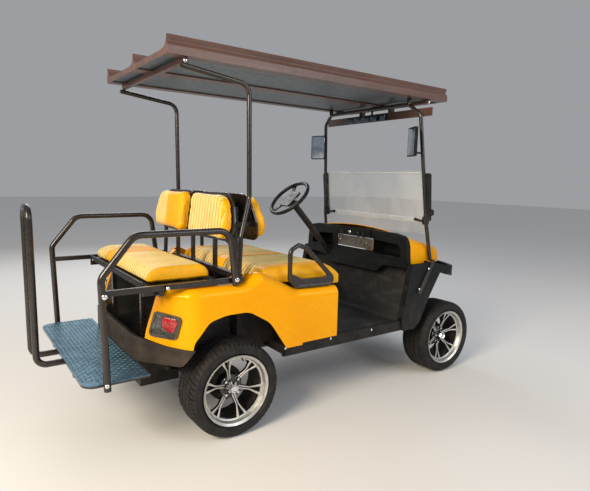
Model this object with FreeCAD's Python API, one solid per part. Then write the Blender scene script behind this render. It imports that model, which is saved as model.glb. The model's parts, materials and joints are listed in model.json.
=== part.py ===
import FreeCAD, Part
import math
import os

# A four-seat golf cart with a rear-facing flip seat, a flat-pan roof and low-profile road tyres.
# Millimetres. +X is forward, +Y is the cart's left, +Z is up; z = 0 is the ground.
# Places are measured from the ground under the rear axle; save() moves each piece to the
# row's origin, which is the ground under the middle of the cart's length.

V = FreeCAD.Vector
X, Y, Z = V(1, 0, 0), V(0, 1, 0), V(0, 0, 1)

# Overall sizes
wheelbase = 1688.0
nose_overhang = 262.0
body_half_width = 592.0
roof_half = 492.0
skin = 4.0
seat_gap = 0.3
running_clearance = 0.05
front_end = wheelbase + nose_overhang

# Wheels and tyres
tyre_radius = 253.0
tyre_width = 205.0
tyre_sides = 48
rim_radius = 178.0
lip_radius = 189.0
rim_width = 190.0
rim_wall = 5.0
lip_depth = 33.0
hub_depth = 68.0
spoke_count = 6
spoke_thick = 16.0
nut_circle = 51.0
wheel_y = 505.0
hub_face_y = wheel_y - 11.0
spindle_radius = 20.0
drum_radius = 95.0
drum_depth = 50.0

# Axles and steering
rear_tube_radius = 32.0
front_tube_radius = 25.0
kingpin_y = wheel_y - 111.0
kingpin_radius = 12.0
knuckle_half = 38.0
yoke_arm = 15.0
yoke_half = 22.0
steer_arm = 120.0
steer_eye_y = kingpin_y - 16.0
steer_eye_radius = 14.0
steer_wheel_x = wheelbase - 777.0
steer_wheel_y = 280.0
steer_wheel_z = 1204.0
steer_wheel = V(steer_wheel_x, steer_wheel_y, steer_wheel_z)
steer_wheel_radius = 173.0
steer_wheel_tube = 14.0
column_slope = 46.7
column_length = 602.0
column_radius = 24.0
shaft_radius = 9.0
steering_down = V(math.cos(math.radians(column_slope)), 0, -math.sin(math.radians(column_slope)))

# Frame and floor
rail_y = 255.0
rail_width = 50.0
rail_low = 330.0
floor_low = 400.0
floor_top = 418.0
sill_low = 372.0
sill_top = 450.0
pod_front = 645.0
pod_low = 437.0
panel_top = 730.0
fender_corner = V(-235.0, -body_half_width, 0)
tail_corner = V(-442.0, -345.0, 0)
seam_rear = 553.0
seam_front = 510.0
entry_front = wheelbase - 433.0
toe_top_x = wheelbase - 271.0
toe_top_z = 799.7

# Suspension
spring_half = 22.0
spring_reach = 240.0
leaf_thick = 8.0
shock_y = 318.0
shock_radius = 20.0
rear_tower = 600.0
front_tower = 560.0

# Rear deck, cushions and seat backs
deck_top = 831.0
deck_thick = 24.0
deck_rear = -431.0
deck_front = -60.0
deck_half = body_half_width - 114.0
cushion_gap = 0.5
rear_cushion_high = 68.0
front_cushion_low = 766.2
base_thick = 24.0
front_cushion_high = 90.0
back_low = 1008.0
back_high = 250.0
back_thick = 58.0
back_half = 226.0
back_y = 274.0
shell_thick = 10.0
bench_rear = 170.0
bench_front = 737.0
bench_hinge_x = 165.0
bench_hinge_z = 800.0
bench_half = body_half_width - 67.0
hinge_pin = 2.5
hinge_wall = 2.5
deck_hinge_x = deck_rear - 8.0
deck_hinge_z = deck_top + 6.0
well_half = 388.0
well_length = (-340.0, 70.0)
liner_y = well_half - 14.0

# Tubes
fender_top = 805.4
rail_tube = 16.0
strut_tube = 13.0
hip_tube = 13.0
hip_lift = 12.4
side_tube_y = body_half_width - 25.0
side_bar_y = side_tube_y - 20.0
foot_top = 423.0
foot_rear = -729.0
foot_front = -435.0
foot_half = side_tube_y - rail_tube - seat_gap
foot_thick = 5.0
foot_edge = 8.0
grab_y = 83.0
grab_x = -845.0
grab_top = 1192.0
grab_tube = 16.0
rear_end = grab_x - grab_tube

# Front posts and screen
post_top = V(wheelbase - 304.0, -(roof_half - 88.0), 1850.0)
post_shoulder = V(wheelbase - 284.0, -roof_half, 1780.0)
post_waist = V(wheelbase - 220.0, -(body_half_width - 52.0), 1060.0)
post_foot = V(wheelbase - 179.0, -(body_half_width - 36.0), 822.0)
screen_ahead = 15.0
screen_half = body_half_width - 67.0
screen_low = 990.0
screen_fold = 1078.0
screen_top = 1412.0
side_mirror_x = wheelbase - 348.0
side_mirror_y = roof_half
side_mirror_half = 70.0
side_mirror_low = 1508.0
side_mirror_high = 1694.0

# Nose
cowl_rear = wheelbase - 358.0
cowl_corner = wheelbase - 113.0
cowl_tip = wheelbase + 197.0
cowl_half = body_half_width - 52.0
cowl_round = 110.0
cowl_low = 800.0
cowl_top = 1022.0
cowl_edge = 55.0
cowl_fall = 0.27
crown_radius = 2700.0
bumper_corner = wheelbase - 11.0
bumper_round = 110.0
bumper_rear = wheelbase - 248.0
lamp_y = 370.0
lamp_z = 838.0
lamp_half_wide = 62.0
lamp_half_high = 24.0

# Dash
dash_face = cowl_rear - 34.0
dash_half = body_half_width - 44.0
dash_low = 775.0
dash_rim = 8.0
cubby_depth = 90.0
cubby_far = cowl_half - 58.0

# Roof
roof_rear = -308.0
roof_front = wheelbase - 27.0
roof_low = 1888.0
fascia_high = 84.0
pan_lift = 8.0
pan_thick = 12.0
rib_half = 45.0
side_rib = 67.0
beam_size = 25.0
rear_beam_x = -227.0
front_beam_x = wheelbase - 198.0

middle = (front_end + rear_end) / 2.0


def box(x, y, z):
    return Part.makeBox(x[1] - x[0], y[1] - y[0], z[1] - z[0], V(x[0], y[0], z[0]))


def mirror(shape):
    return shape.mirror(V(0, 0, 0), Y)


def flip(point):
    return V(point.x, -point.y, point.z)


def pair(shape):
    return [shape, mirror(shape)]


def rounded_edges(points, radii, closed):
    """Straight runs through the points, joined by tangent arcs of the given radii."""
    count = len(points)
    if not isinstance(radii, (list, tuple)):
        radii = [radii] * count
    corners = []
    for index, point in enumerate(points):
        radius = radii[index]
        if radius <= 0 or (not closed and index in (0, count - 1)):
            corners.append((point, None, point))
            continue
        back = (points[index - 1] - point).normalize()
        ahead = (points[(index + 1) % count] - point).normalize()
        half = back.getAngle(ahead) / 2.0
        reach = radius / math.tan(half)
        inward = (back + ahead).normalize()
        middle_point = point + inward * (radius / math.sin(half) - radius)
        corners.append((point + back * reach, middle_point, point + ahead * reach))
    edges = []
    for index, (start, arc_middle, end) in enumerate(corners):
        if arc_middle is not None:
            edges.append(Part.Arc(start, arc_middle, end).toShape())
        if closed or index < count - 1:
            following = corners[(index + 1) % count][0]
            if (following - end).Length > 1e-6:
                edges.append(Part.LineSegment(end, following).toShape())
    return edges


def outline_face(points, axis):
    """A flat face from (u, v, corner radius) rows, in the plane that faces the axis."""
    place = {"x": lambda u, v: V(0, u, v), "y": lambda u, v: V(u, 0, v), "z": lambda u, v: V(u, v, 0)}[axis]
    rows = [place(u, v) for u, v, radius in points]
    radii = [radius for u, v, radius in points]
    return Part.Face(Part.Wire(rounded_edges(rows, radii, True)))


def prism(points, axis, low, high):
    direction = {"x": X, "y": Y, "z": Z}[axis]
    face = outline_face(points, axis)
    face.translate(direction * low)
    return face.extrude(direction * (high - low))


def tube(points, radius, bend):
    """A round bar along straight runs and bends."""
    path = Part.Wire(rounded_edges(points, bend, False))
    start = (points[1] - points[0]).normalize()
    ring = Part.Wire(Part.Circle(points[0], start, radius).toShape())
    return path.makePipeShell([ring], True, False)


def rod(start, end, radius):
    return Part.makeCylinder(radius, (end - start).Length, start, end - start)


def turned(profile, centre, axis):
    """A solid of revolution from (distance along the axis, radius) rows."""
    across = X if abs(axis.x) < 0.5 else Y
    rows = [centre + axis * along + across * radius for along, radius in profile]
    face = Part.Face(Part.makePolygon(rows + [rows[0]]))
    return face.revolve(centre, axis, 360)


def fuse(shapes):
    return shapes[0].multiFuse(shapes[1:]).removeSplitter() if len(shapes) > 1 else shapes[0]


def save(name, shapes):
    shapes = shapes if isinstance(shapes, list) else [shapes]
    solids = [solid for shape in shapes for solid in shape.Solids]
    whole = solids[0] if len(solids) == 1 else Part.makeCompound(solids)
    whole = whole.copy()
    whole.translate(V(-middle, 0, 0))
    whole.exportStep("parts/" + name + ".step")


# Wheels

def tyre(x, side):
    """A ring with a flat-sided outline, so that it has few facets; it stands on one of its flats."""
    half = tyre_width / 2.0
    bead = rim_radius + 2 * seat_gap
    seat = rim_width / 2.0 - 12 - seat_gap
    right = [(seat, bead), (seat, lip_radius + 3), (half - 4, lip_radius + 11), (half, lip_radius + 25),
             (half - 4, tyre_radius - 20), (half - 16, tyre_radius - 7), (half - 36, tyre_radius)]
    left = [(-along, radius) for along, radius in reversed(right)]
    step = math.pi / tyre_sides
    rings = []
    for along, radius in right + left:
        reach = radius / math.cos(step)
        rings.append([V(x + reach * math.sin((2 * turn + 1) * step), side * (wheel_y + along),
                        tyre_radius + reach * math.cos((2 * turn + 1) * step)) for turn in range(tyre_sides)])
    faces = []
    for first, second in zip(rings, rings[1:] + rings[:1]):
        for turn in range(tyre_sides):
            corners = [first[turn - 1], first[turn], second[turn], second[turn - 1]]
            faces.append(Part.Face(Part.makePolygon(corners + corners[:1])))
    shell = Part.Shell(faces)
    shell.sewShape()
    solid = Part.Solid(shell)
    return solid if solid.Volume > 0 else solid.reversed()


def forked_spoke(foot, tip):
    """One spoke along +Z with its face at y = 0: two ridges beside a groove, parting towards the rim."""
    split = (foot + tip) * 0.48
    outline = [(-10, foot, 0), (-9, split, 30), (-31, tip, 0), (-16, tip, 0), (0, split + 14, 3), (16, tip, 0),
               (31, tip, 0), (9, split, 30), (10, foot, 0)]
    groove = [(-2.5, foot - 1, 0), (-2.5, split + 12, 0), (2.5, split + 12, 0), (2.5, foot - 1, 0)]
    return prism(outline, "y", -spoke_thick, 0).cut(prism(groove, "y", -6, 1))


def rim(x, side, first_angle):
    """Deep-lipped rim whose six forked spokes dish in towards the hub, with its hub and brake drum."""
    low, high = wheel_y - rim_width / 2.0, wheel_y + rim_width / 2.0
    inside = rim_radius - rim_wall
    step = inside - 12
    barrel = [(low, inside), (low, lip_radius), (low + 5, lip_radius), (low + 12, rim_radius),
              (high - 12, rim_radius), (high - 5, lip_radius), (high, lip_radius), (high, lip_radius - 4),
              (high - 7, rim_radius - 2), (high - lip_depth + 3, inside - 4), (high - lip_depth, step),
              (high - lip_depth - spoke_thick, step), (high - lip_depth - spoke_thick - 8, inside)]
    face = high - hub_depth
    hub = [(hub_face_y - 20, spindle_radius + running_clearance), (hub_face_y - 20, 72), (face - 6, nut_circle + 15),
           (face, nut_circle + 11), (face, 34), (face + 20, 32), (face + 24, 28), (face + 38, 25),
           (face + 43, 14), (face + 43, 0), (face + 8, 0), (face + 8, spindle_radius + running_clearance)]
    drum = [(hub_face_y - 20 - drum_depth, drum_radius - 8), (hub_face_y - 20 - drum_depth, drum_radius),
            (hub_face_y - 20, drum_radius), (hub_face_y - 8, 70), (hub_face_y - 8, 40),
            (hub_face_y - 20, 40), (hub_face_y - 28, drum_radius - 8)]
    parts = [turned(profile, V(0, 0, 0), Y) for profile in (barrel, hub, drum)]
    dish = math.degrees(math.atan2(hub_depth - lip_depth, step - nut_circle))
    tip = nut_circle - 9 + (step + 3 - nut_circle + 9) / math.cos(math.radians(dish))
    for turn in range(spoke_count):
        foot = nut_circle + 11 if turn % 3 == 0 else nut_circle - 9
        spoke = forked_spoke(foot, tip)
        spoke.rotate(V(0, 0, nut_circle - 9), X, -dish)
        spoke.translate(V(0, face, 0))
        spoke.rotate(V(0, 0, 0), Y, 90 - first_angle - turn * 360.0 / spoke_count)
        parts.append(spoke)
    wheel = fuse(parts)
    wheel = wheel if side > 0 else mirror(wheel)
    wheel.translate(V(x, 0, tyre_radius))
    return wheel


def wheels():
    # Name, place along the cart, side, and the angle at which the first spoke stands.
    places = (("front_left", wheelbase, 1, 32.0), ("front_right", wheelbase, -1, 76.0),
              ("rear_left", 0.0, 1, 10.0), ("rear_right", 0.0, -1, 46.0))
    for name, x, side, angle in places:
        save("tyre_" + name, tyre(x, side))
        save("rim_" + name, rim(x, side, angle))


# Axles and steering

def rear_axle():
    backing = hub_face_y - 20 - drum_depth - 3
    z = tyre_radius
    halves = [rod(V(0, 0, z), V(0, backing - 10, z), rear_tube_radius),
              rod(V(0, backing - 12, z), V(0, backing, z), drum_radius),
              rod(V(0, backing - 12, z), V(0, hub_face_y + 8, z), spindle_radius)]
    housing = turned([(-95, 0), (-95, 60), (-60, 105), (60, 105), (95, 60), (95, 0)], V(0, 40, z), Y)
    both = []
    for piece in halves:
        both.extend(pair(piece))
    save("rear_axle", fuse(both + [housing]))


def motor():
    block = box((-330, -105 - seat_gap), (-75, 155), (tyre_radius - 90, tyre_radius + 90))
    save("motor_block", block)


def batteries():
    save("battery_block", box((115, 600), (-380, 380), (floor_low, 690)))


def front_axle():
    z = tyre_radius
    inner = kingpin_y - 50
    parts = [rod(V(wheelbase, -inner - 6, z), V(wheelbase, inner + 6, z), front_tube_radius)]
    gap = knuckle_half + seat_gap
    across = (wheelbase - yoke_half, wheelbase + yoke_half)
    for side in (1, -1):
        back = box(across, (inner - 4, inner + 8), (z - gap - yoke_arm, z + gap + yoke_arm))
        parts.append(back if side > 0 else mirror(back))
        for low in (gap, -gap - yoke_arm):
            arm = box(across, (inner, kingpin_y), (z + low, z + low + yoke_arm))
            arm = arm.fuse(Part.makeCylinder(yoke_half, yoke_arm, V(wheelbase, kingpin_y, z + low)))
            arm = arm.cut(Part.makeCylinder(kingpin_radius + running_clearance, yoke_arm,
                                            V(wheelbase, kingpin_y, z + low)))
            parts.append(arm if side > 0 else mirror(arm))
    save("front_axle", fuse(parts))


def knuckle():
    z = tyre_radius
    barrel = Part.makeCylinder(20, 2 * knuckle_half, V(wheelbase, kingpin_y, z - knuckle_half))
    reach = knuckle_half + seat_gap + yoke_arm + 6
    pin = Part.makeCylinder(kingpin_radius, 2 * reach, V(wheelbase, kingpin_y, z - reach))
    stub = rod(V(wheelbase, kingpin_y + 30, z), V(wheelbase, hub_face_y + 8, z), spindle_radius)
    neck = rod(V(wheelbase, kingpin_y, z), V(wheelbase, kingpin_y + 36, z), 30)
    eye_x = wheelbase - steer_arm
    arm = prism([(eye_x, steer_eye_y - 10, 0), (wheelbase, kingpin_y - 18, 0),
                 (wheelbase, kingpin_y + 12, 0), (eye_x, steer_eye_y + 10, 0)], "z", z - 28, z - 16)
    eye = Part.makeCylinder(steer_eye_radius, 12, V(eye_x, steer_eye_y, z - 28))
    return fuse([barrel, pin, stub, neck, arm, eye])


def knuckles():
    left = knuckle()
    save("knuckle_left", left)
    save("knuckle_right", mirror(left))


def tie_rod():
    x, z = wheelbase - steer_arm, tyre_radius - 16 + seat_gap
    ends = pair(Part.makeCylinder(steer_eye_radius, 22, V(x, steer_eye_y, z)))
    bar = rod(V(x, -steer_eye_y, z + 11), V(x, steer_eye_y, z + 11), 9)
    save("tie_rod", fuse(ends + [bar]))


def leaf(x, low, reach, rise):
    """One spring leaf, bowed so that its ends stand higher than its middle."""
    near, far = rail_y - spring_half, rail_y + spring_half
    rows = [[V(x + side * reach, near, low + rise + lift) for side in (-1, 1)] + [V(x, near, low + lift)]
            for lift in (0, leaf_thick)]
    edges = [Part.Arc(start, bottom, end).toShape() for start, end, bottom in rows]
    edges += [Part.LineSegment(rows[0][side], rows[1][side]).toShape() for side in (0, 1)]
    face = Part.Face(Part.Wire(Part.__sortEdges__(edges)))
    return face.extrude(V(0, far - near, 0))


def springs():
    """Leaf springs and shock absorbers, front and rear."""
    pieces = []
    for x, axle_top, tower in ((0.0, tyre_radius + rear_tube_radius, rear_tower),
                               (wheelbase, tyre_radius + front_tube_radius, front_tower)):
        low = axle_top + seat_gap
        near, far = rail_y - spring_half, rail_y + spring_half
        eye_z = rail_low - 18
        rise = eye_z - low - 8
        stack = [leaf(x, low, spring_reach, rise),
                 leaf(x, low + leaf_thick, spring_reach * 0.6, rise * 0.3),
                 box((x - 28, x + 28), (near, far), (low, rail_low - seat_gap))]
        for end in (x - spring_reach, x + spring_reach):
            stack.append(rod(V(end, near, eye_z), V(end, far, eye_z), 12))
            stack.append(box((end - 10, end + 10), (near, far), (eye_z, rail_low - seat_gap)))
        pieces.extend(pair(fuse(stack)))
        long = tower - seat_gap - low
        shock = turned([(0, 0), (0, 13), (26, 13), (26, 8), (120, 8), (120, shock_radius),
                        (long - 12, shock_radius), (long - 6, 14), (long, 14), (long, 0)], V(x, shock_y, low), Z)
        pieces.extend(pair(shock))
    save("springs", pieces)


# Frame, floor and body

def main_frame():
    top = floor_low
    near, far = rail_y - rail_width / 2, rail_y + rail_width / 2
    parts = []
    for piece in (box((-430, wheelbase + 72), (near, far), (rail_low, top)),
                  box((350, 640), (rail_y, body_half_width - 92), (rail_low + 20, top)),
                  box((entry_front - 75, entry_front - 15), (rail_y, body_half_width - 92), (rail_low + 20, top))):
        parts.extend(pair(piece))
    for x in (-430, 125, 640, entry_front - 75, wheelbase - 188):
        parts.append(box((x, x + 60), (-rail_y, rail_y), (rail_low + 10, top)))
    for x, tower in ((0.0, rear_tower), (wheelbase, front_tower)):
        upright = box((x - 16, x + 16), (far - 12, far), (top - 10, tower + 12))
        shelf = box((x - 16, x + 16), (far - 12, shock_y + 24), (tower, tower + 12))
        parts.extend(pair(upright.fuse(shelf)))
    save("main_frame", fuse(parts))


def floor_pan():
    """Floor, toe board and the panel under the seat, folded from one sheet, and the wheel housings' inner walls."""
    half = body_half_width - 40 - seat_gap
    toe_half = body_half_width - 45
    side = [(pod_front + 6, floor_low, 0), (entry_front + 20, floor_low, 60), (toe_top_x + 14, toe_top_z, 0),
            (toe_top_x, toe_top_z, 0), (entry_front, floor_top, 40), (pod_front + 24, floor_top, 0),
            (pod_front + 14, panel_top, 0), (pod_front + 6, panel_top, 0)]
    sheet = prism(side, "y", -half, half)
    trim = box((entry_front - 27, toe_top_x + 100), (toe_half, half + 1), (floor_low - 1, toe_top_z + 100))
    sheet = sheet.cut(trim).cut(mirror(trim))
    foot = floor_low + seat_gap
    liner = box(well_length, (liner_y, liner_y + skin), (foot, deck_top - 36))
    liner = liner.fuse(box(well_length, (rail_y + 7, liner_y + 1), (foot, foot + skin)))
    liner = liner.cut(box((-30, 30), (rail_y, shock_y + 32), (foot - 1, foot + skin + 1)))
    save("floor_pan", [sheet] + pair(liner))


def rockers():
    top = pod_low - seat_gap
    side = [(300, sill_low, 0), (entry_front - 19, sill_low, 0), (entry_front - 33, top, 0), (330, top, 0)]
    piece = prism(side, "y", -body_half_width + 14, -body_half_width + 40 - seat_gap)
    save("rocker_trim", pair(piece))


def body_plan(inset, front):
    """Half-plan of the rear body on the right, as (x, y, corner radius) rows."""
    edge = body_half_width - inset
    return [(front - inset, 0, 0), (front - inset, -edge, 0), (fender_corner.x + 0.4 * inset, -edge, 100),
            (tail_corner.x + inset, tail_corner.y + 0.6 * inset, 40), (tail_corner.x + inset, 0, 0)]


def seam(rear, drop):
    """The seam between the rear body and its bumper, from the given rear end, as (x, z, radius) rows."""
    slope = (seam_rear - seam_front) / (tail_corner.x + 17 - fender_corner.x)
    rise = lambda x: seam_front + slope * (x - fender_corner.x)
    return [(rear, rise(rear) - drop, 0), (-335, rise(-335) - 13 - drop, 200), (-240, seam_front - 2 - drop, 150),
            (-180, seam_front - 2 - drop, 0)]


def pod_top(x):
    """Height of the pod's top face where the hip restraint stands."""
    return 735.0 + 7.0 * (pod_front + 20 - x) / (pod_front - 360)


def body_side(drop):
    """Side outline of the rear body, as (x, z, corner radius) rows."""
    front = pod_front + 20
    tab = pod_low - 13
    return seam(-410, 0) + [(-180, tab, 0), (415, tab, 0), (415, pod_low, 0), (front, pod_low, 0),
                            (front, pod_top(front) - drop, 0), (380, pod_top(380) - drop, 90), (137, 866 - drop, 55),
                            (60, 804 - drop, 60), (-298, 805 - drop, 60), (-338 + drop, 772 - drop, 50)]


def body_block(inset):
    """The rear body's right-hand outer form, or the same form inset by a wall."""
    block = prism(body_plan(inset, pod_front + 20), "z", 400, 900)
    block = block.common(prism(body_side(inset), "y", -700, 0))
    rim_edges = []
    for edge in block.Edges:
        box_of = edge.BoundBox
        outside = box_of.YMax < -300 and box_of.ZMin > 600 and box_of.XMax < pod_front + 10 - inset
        if outside and box_of.XLength > 5 and box_of.ZMax > 640:
            rim_edges.append(edge)
    return block, rim_edges


def rear_body():
    """Yellow rear body: side pods, fenders and the shoulders behind the bench, open below."""
    outer, outer_edges = body_block(0)
    inner, inner_edges = body_block(skin)
    outer = outer.makeFillet(48, outer_edges)
    inner = inner.makeFillet(48 - skin, inner_edges)
    lower = inner.copy()
    lower.translate(V(0, 0, -60))
    shell = outer.cut(inner).cut(lower)
    arch = prism([(-262, 300, 0), (-228, 545, 80), (-150, 640, 80), (-60, 662, 200), (70, 662, 120),
                  (200, 585, 150), (345, 373, 0), (400, 300, 0)], "y", -700, -330)
    shell = shell.cut(arch)
    bay = box((-500, 90), (-well_half, 1), (300, 1000)).fuse(box((70, 700), (-480, 1), (300, 1000)))
    front = box((pod_front, pod_front + 30), (-body_half_width + 40, 1), (300, 1000))
    shell = shell.cut(bay).cut(front)
    seat = box((bench_rear - 60, bench_front + 20), (-bench_half - 5 - seat_gap, 1),
               (front_cushion_low - base_thick - seat_gap, 1000))
    shell = shell.cut(seat)
    save("rear_body", pair(shell))


def rear_bumper():
    outer = body_plan(-6, 0)
    inner = body_plan(18, 0)
    band = prism(outer, "z", 400, 560).cut(prism(inner, "z", 390, 570))
    side = seam(-460, seat_gap)[:3] + [(-226, seam_front - 2 - seat_gap, 0), (-280, 421, 20), (-460, 430, 0)]
    band = band.common(prism(side, "y", -700, 0))
    arms = box((-430, -395), (-280, -230), (floor_low, 520))
    save("rear_bumper", fuse([band, mirror(band)] + pair(arms)))


def nose_wire(inset, half, corner, tip, radius, back, z):
    """Bowed front outline in plan: straight sides, tangent corner arcs and one large arc through the tip."""
    half, tip, radius = half - inset, tip - inset, radius - inset
    reach, across = tip - corner, half - radius
    sweep = (reach ** 2 + across ** 2 - radius ** 2) / (2 * (reach - radius))
    near = V(corner, -across, z)
    outward = (near - V(tip - sweep, 0, z)).normalize()
    join = near + outward * radius
    bend = near + (outward - Y).normalize() * radius
    start, rear = V(corner, -half, z), V(back, -half, z)
    edges = [Part.LineSegment(rear, start).toShape(), Part.Arc(start, bend, join).toShape(),
             Part.Arc(join, V(tip, 0, z), flip(join)).toShape(),
             Part.Arc(flip(join), flip(bend), flip(start)).toShape(),
             Part.LineSegment(flip(start), flip(rear)).toShape(), Part.LineSegment(flip(rear), rear).toShape()]
    return Part.Wire(edges)


def nose_block(inset, half, corner, tip, radius, back, low, high):
    wire = nose_wire(inset, half, corner, tip, radius, back, low)
    return Part.Face(wire).extrude(Z * (high - low))


def crown(y):
    """How far the cowl's and dash's top lies below its middle at a distance off the centre plane."""
    return crown_radius - math.sqrt(crown_radius ** 2 - y ** 2)


def crown_face(x, half, low, top):
    """Upright face across the cart under a crowned top line."""
    corners = [V(x, -half, top - crown(half)), V(x, half, top - crown(half)), V(x, half, low), V(x, -half, low)]
    edges = [Part.Arc(corners[0], V(x, 0, top), corners[1]).toShape()]
    for start, end in zip(corners[1:], corners[2:] + corners[:1]):
        edges.append(Part.LineSegment(start, end).toShape())
    return Part.Face(Part.Wire(edges))


def cowl_block(inset, drop):
    """The cowl's outer form under its sloped and crowned top, or the same form inset by a wall."""
    low = cowl_low - drop
    wires = [nose_wire(inset + pull, cowl_half, cowl_corner - 2.5 * pull, cowl_tip - pull, cowl_round, cowl_rear, z)
             for pull, z in ((0, low), (12, low + 320))]
    block = Part.makeLoft(wires, True, True)
    top = crown_face(cowl_rear, 600, low - 10, cowl_top - inset).extrude(V(700, 0, -700 * cowl_fall))
    block = block.common(top)
    edges = []
    for edge in block.Edges:
        box_of = edge.BoundBox
        if box_of.ZMin > cowl_low + 30 and box_of.ZLength < 100 and box_of.XLength > 20:
            edges.append(edge)
    return block.makeFillet(cowl_edge - inset, edges)


def lamp_window(side, grow):
    high, wide = lamp_half_high + grow, lamp_half_wide + grow
    y = side * lamp_y
    rows = [(y - wide, lamp_z - high, 12), (y + wide, lamp_z - high, 12),
            (y + wide, lamp_z + high, 12), (y - wide, lamp_z + high, 12)]
    return prism(rows, "x", cowl_corner, front_end)


def front_cowl():
    shell = cowl_block(0, 0).cut(cowl_block(skin, 20))
    for side in (1, -1):
        shell = shell.cut(lamp_window(side, seat_gap))
    save("front_cowl", shell)


def bumper_ring(inset, wall, low, high):
    outer = nose_block(inset, body_half_width, bumper_corner, front_end, bumper_round, bumper_rear, low, high)
    inner = nose_block(inset + wall, body_half_width, bumper_corner, front_end, bumper_round, bumper_rear - 50,
                       low - 10, high + 10)
    return outer.cut(inner)


def band_low(x):
    """Height of the bumper band's lower edge beside the aprons."""
    return 742.0 + 0.2 * (wheelbase - 107 - x)


def front_bumper():
    tip = front_end + 10
    rear, kink = bumper_rear - 10, wheelbase - 107
    side = [(rear, band_low(rear), 0), (rear, 824, 0), (wheelbase + 12, 767, 60), (tip, 752, 0),
            (tip, 655, 0), (wheelbase + 60, 690, 60), (wheelbase + 12, 715, 0), (kink, band_low(kink), 0)]
    band = bumper_ring(0, 30, 600, 900).common(prism(side, "y", -700, 700))
    lower = bumper_ring(14, 8, 560, 700).common(box((wheelbase + 90, tip), (-300, 300), (560, 700)))
    shelf_top = cowl_low - seat_gap
    shelf = nose_block(28, body_half_width, bumper_corner, front_end, bumper_round, bumper_rear, 700, 760)
    shelf = shelf.common(prism([(bumper_rear + 20, 772, 0), (tip, 735, 0), (tip, 727, 0),
                                (bumper_rear + 20, 764, 0)], "y", -700, 700))
    lift = nose_block(60, body_half_width, cowl_corner, cowl_tip, cowl_round, cowl_rear + 130, 740, shelf_top)
    lift = lift.cut(nose_block(66, body_half_width, cowl_corner, cowl_tip, cowl_round, cowl_rear + 100, 730, 900))
    save("front_bumper", fuse([band, lower, shelf, lift]))


def front_aprons():
    rear, tip, kink = wheelbase - 448, bumper_rear - seat_gap, wheelbase - 107
    side = [(rear, sill_low, 0), (rear + 107, 367, 30), (rear + 158, 411, 60), (rear + 251, 586, 90),
            (rear + 346, 734, 0), (kink, band_low(kink) - seat_gap, 0), (tip, band_low(tip) - seat_gap, 0),
            (tip, 808, 0), (rear + 60, 808, 0), (rear - 15, sill_top, 20)]
    out, flange = -body_half_width, 45 - seat_gap
    panel = prism(side, "y", out, out + 10 - seat_gap)
    edge = [(rear, sill_low, 0), (rear + 10, sill_low, 0), (rear - 5, sill_top, 20), (rear + 70, 808, 0),
            (rear + 60, 808, 0), (rear - 15, sill_top, 20)]
    panel = panel.fuse(prism(edge, "y", out, out + flange))
    save("front_aprons", pair(panel.removeSplitter()))


def dash():
    """Dash across the cowl's rear opening: rounded ends, two cubbies and a raised middle panel."""
    back = cowl_rear - seat_gap
    top = cowl_top + dash_rim
    low_rows = [(dash_half, dash_low, 20), (330, dash_low - 8, 0), (250, 712, 20), (-250, 712, 20),
                (-330, dash_low - 8, 0), (-dash_half, dash_low, 20)]
    outline = low_rows + [(-dash_half + 20, top - crown(500) + 14, 90), (dash_half - 20, top - crown(500) + 14, 90)]
    block = prism(outline, "x", dash_face, back)
    block = block.common(crown_face(dash_face, 700, 600, top).extrude(X * (back - dash_face)))
    for near, far in ((225, cubby_far), (-225, -cubby_far)):
        grow = math.copysign(6, far)
        walls = [(near - grow, 834, 14), (far + grow, 834, 14), (far + grow, 926, 50), (near - grow, 942, 14)]
        room = [(near, 840, 14), (far, 840, 14), (far, 920, 44), (near, 936, 14)]
        block = block.fuse(prism(walls, "x", back - 5, back + cubby_depth))
        block = block.cut(prism(room, "x", dash_face - 20, back + cubby_depth - 6))
    panel = [(-200, 850, 12), (200, 850, 12), (195, 992, 12), (-195, 992, 12)]
    block = block.fuse(prism(panel, "x", dash_face - 12, dash_face + 2))
    block = block.cut(rod(steer_wheel, steer_wheel + steering_down * 900, column_radius + seat_gap))
    save("dash", block.removeSplitter())


def pedals():
    face, hinge = entry_front - 25, entry_front + 54.8
    parts = []
    for y, wide in ((330, 50), (210, 75)):
        plate = box((face, face + 12), (y - wide / 2, y + wide / 2), (520, 590))
        arm = box((face + 10, hinge), (y - 8, y + 8), (548, 562))
        parts.append(plate.fuse(arm))
    save("pedals", parts)


def lamps():
    # The tail lamp lies on the body's slanted corner; its rows run rearwards along that face, and up.
    face_run = tail_corner - fender_corner
    bezel = prism([(205, 692, 16), (55, 672, 22), (88, 556, 26), (243, 566, 22)], "x", -10, -seat_gap)
    window = prism([(194, 677, 10), (70, 659, 14), (98, 570, 16), (230, 578, 12)], "x", -11, -6)
    tail = bezel.cut(window)
    tail.rotate(V(0, 0, 0), Z, math.degrees(math.atan2(-face_run.x, face_run.y)))
    tail.translate(fender_corner)
    save("tail_lights", pair(tail))
    lens = cowl_block(0, 0).cut(cowl_block(12, 20))
    save("headlights", [lens.common(lamp_window(side, 0)) for side in (1, -1)])


# Seats

def pad(x, y, z, corner):
    block = box(x, y, z)
    return block.makeFillet(corner, block.Edges)


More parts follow.
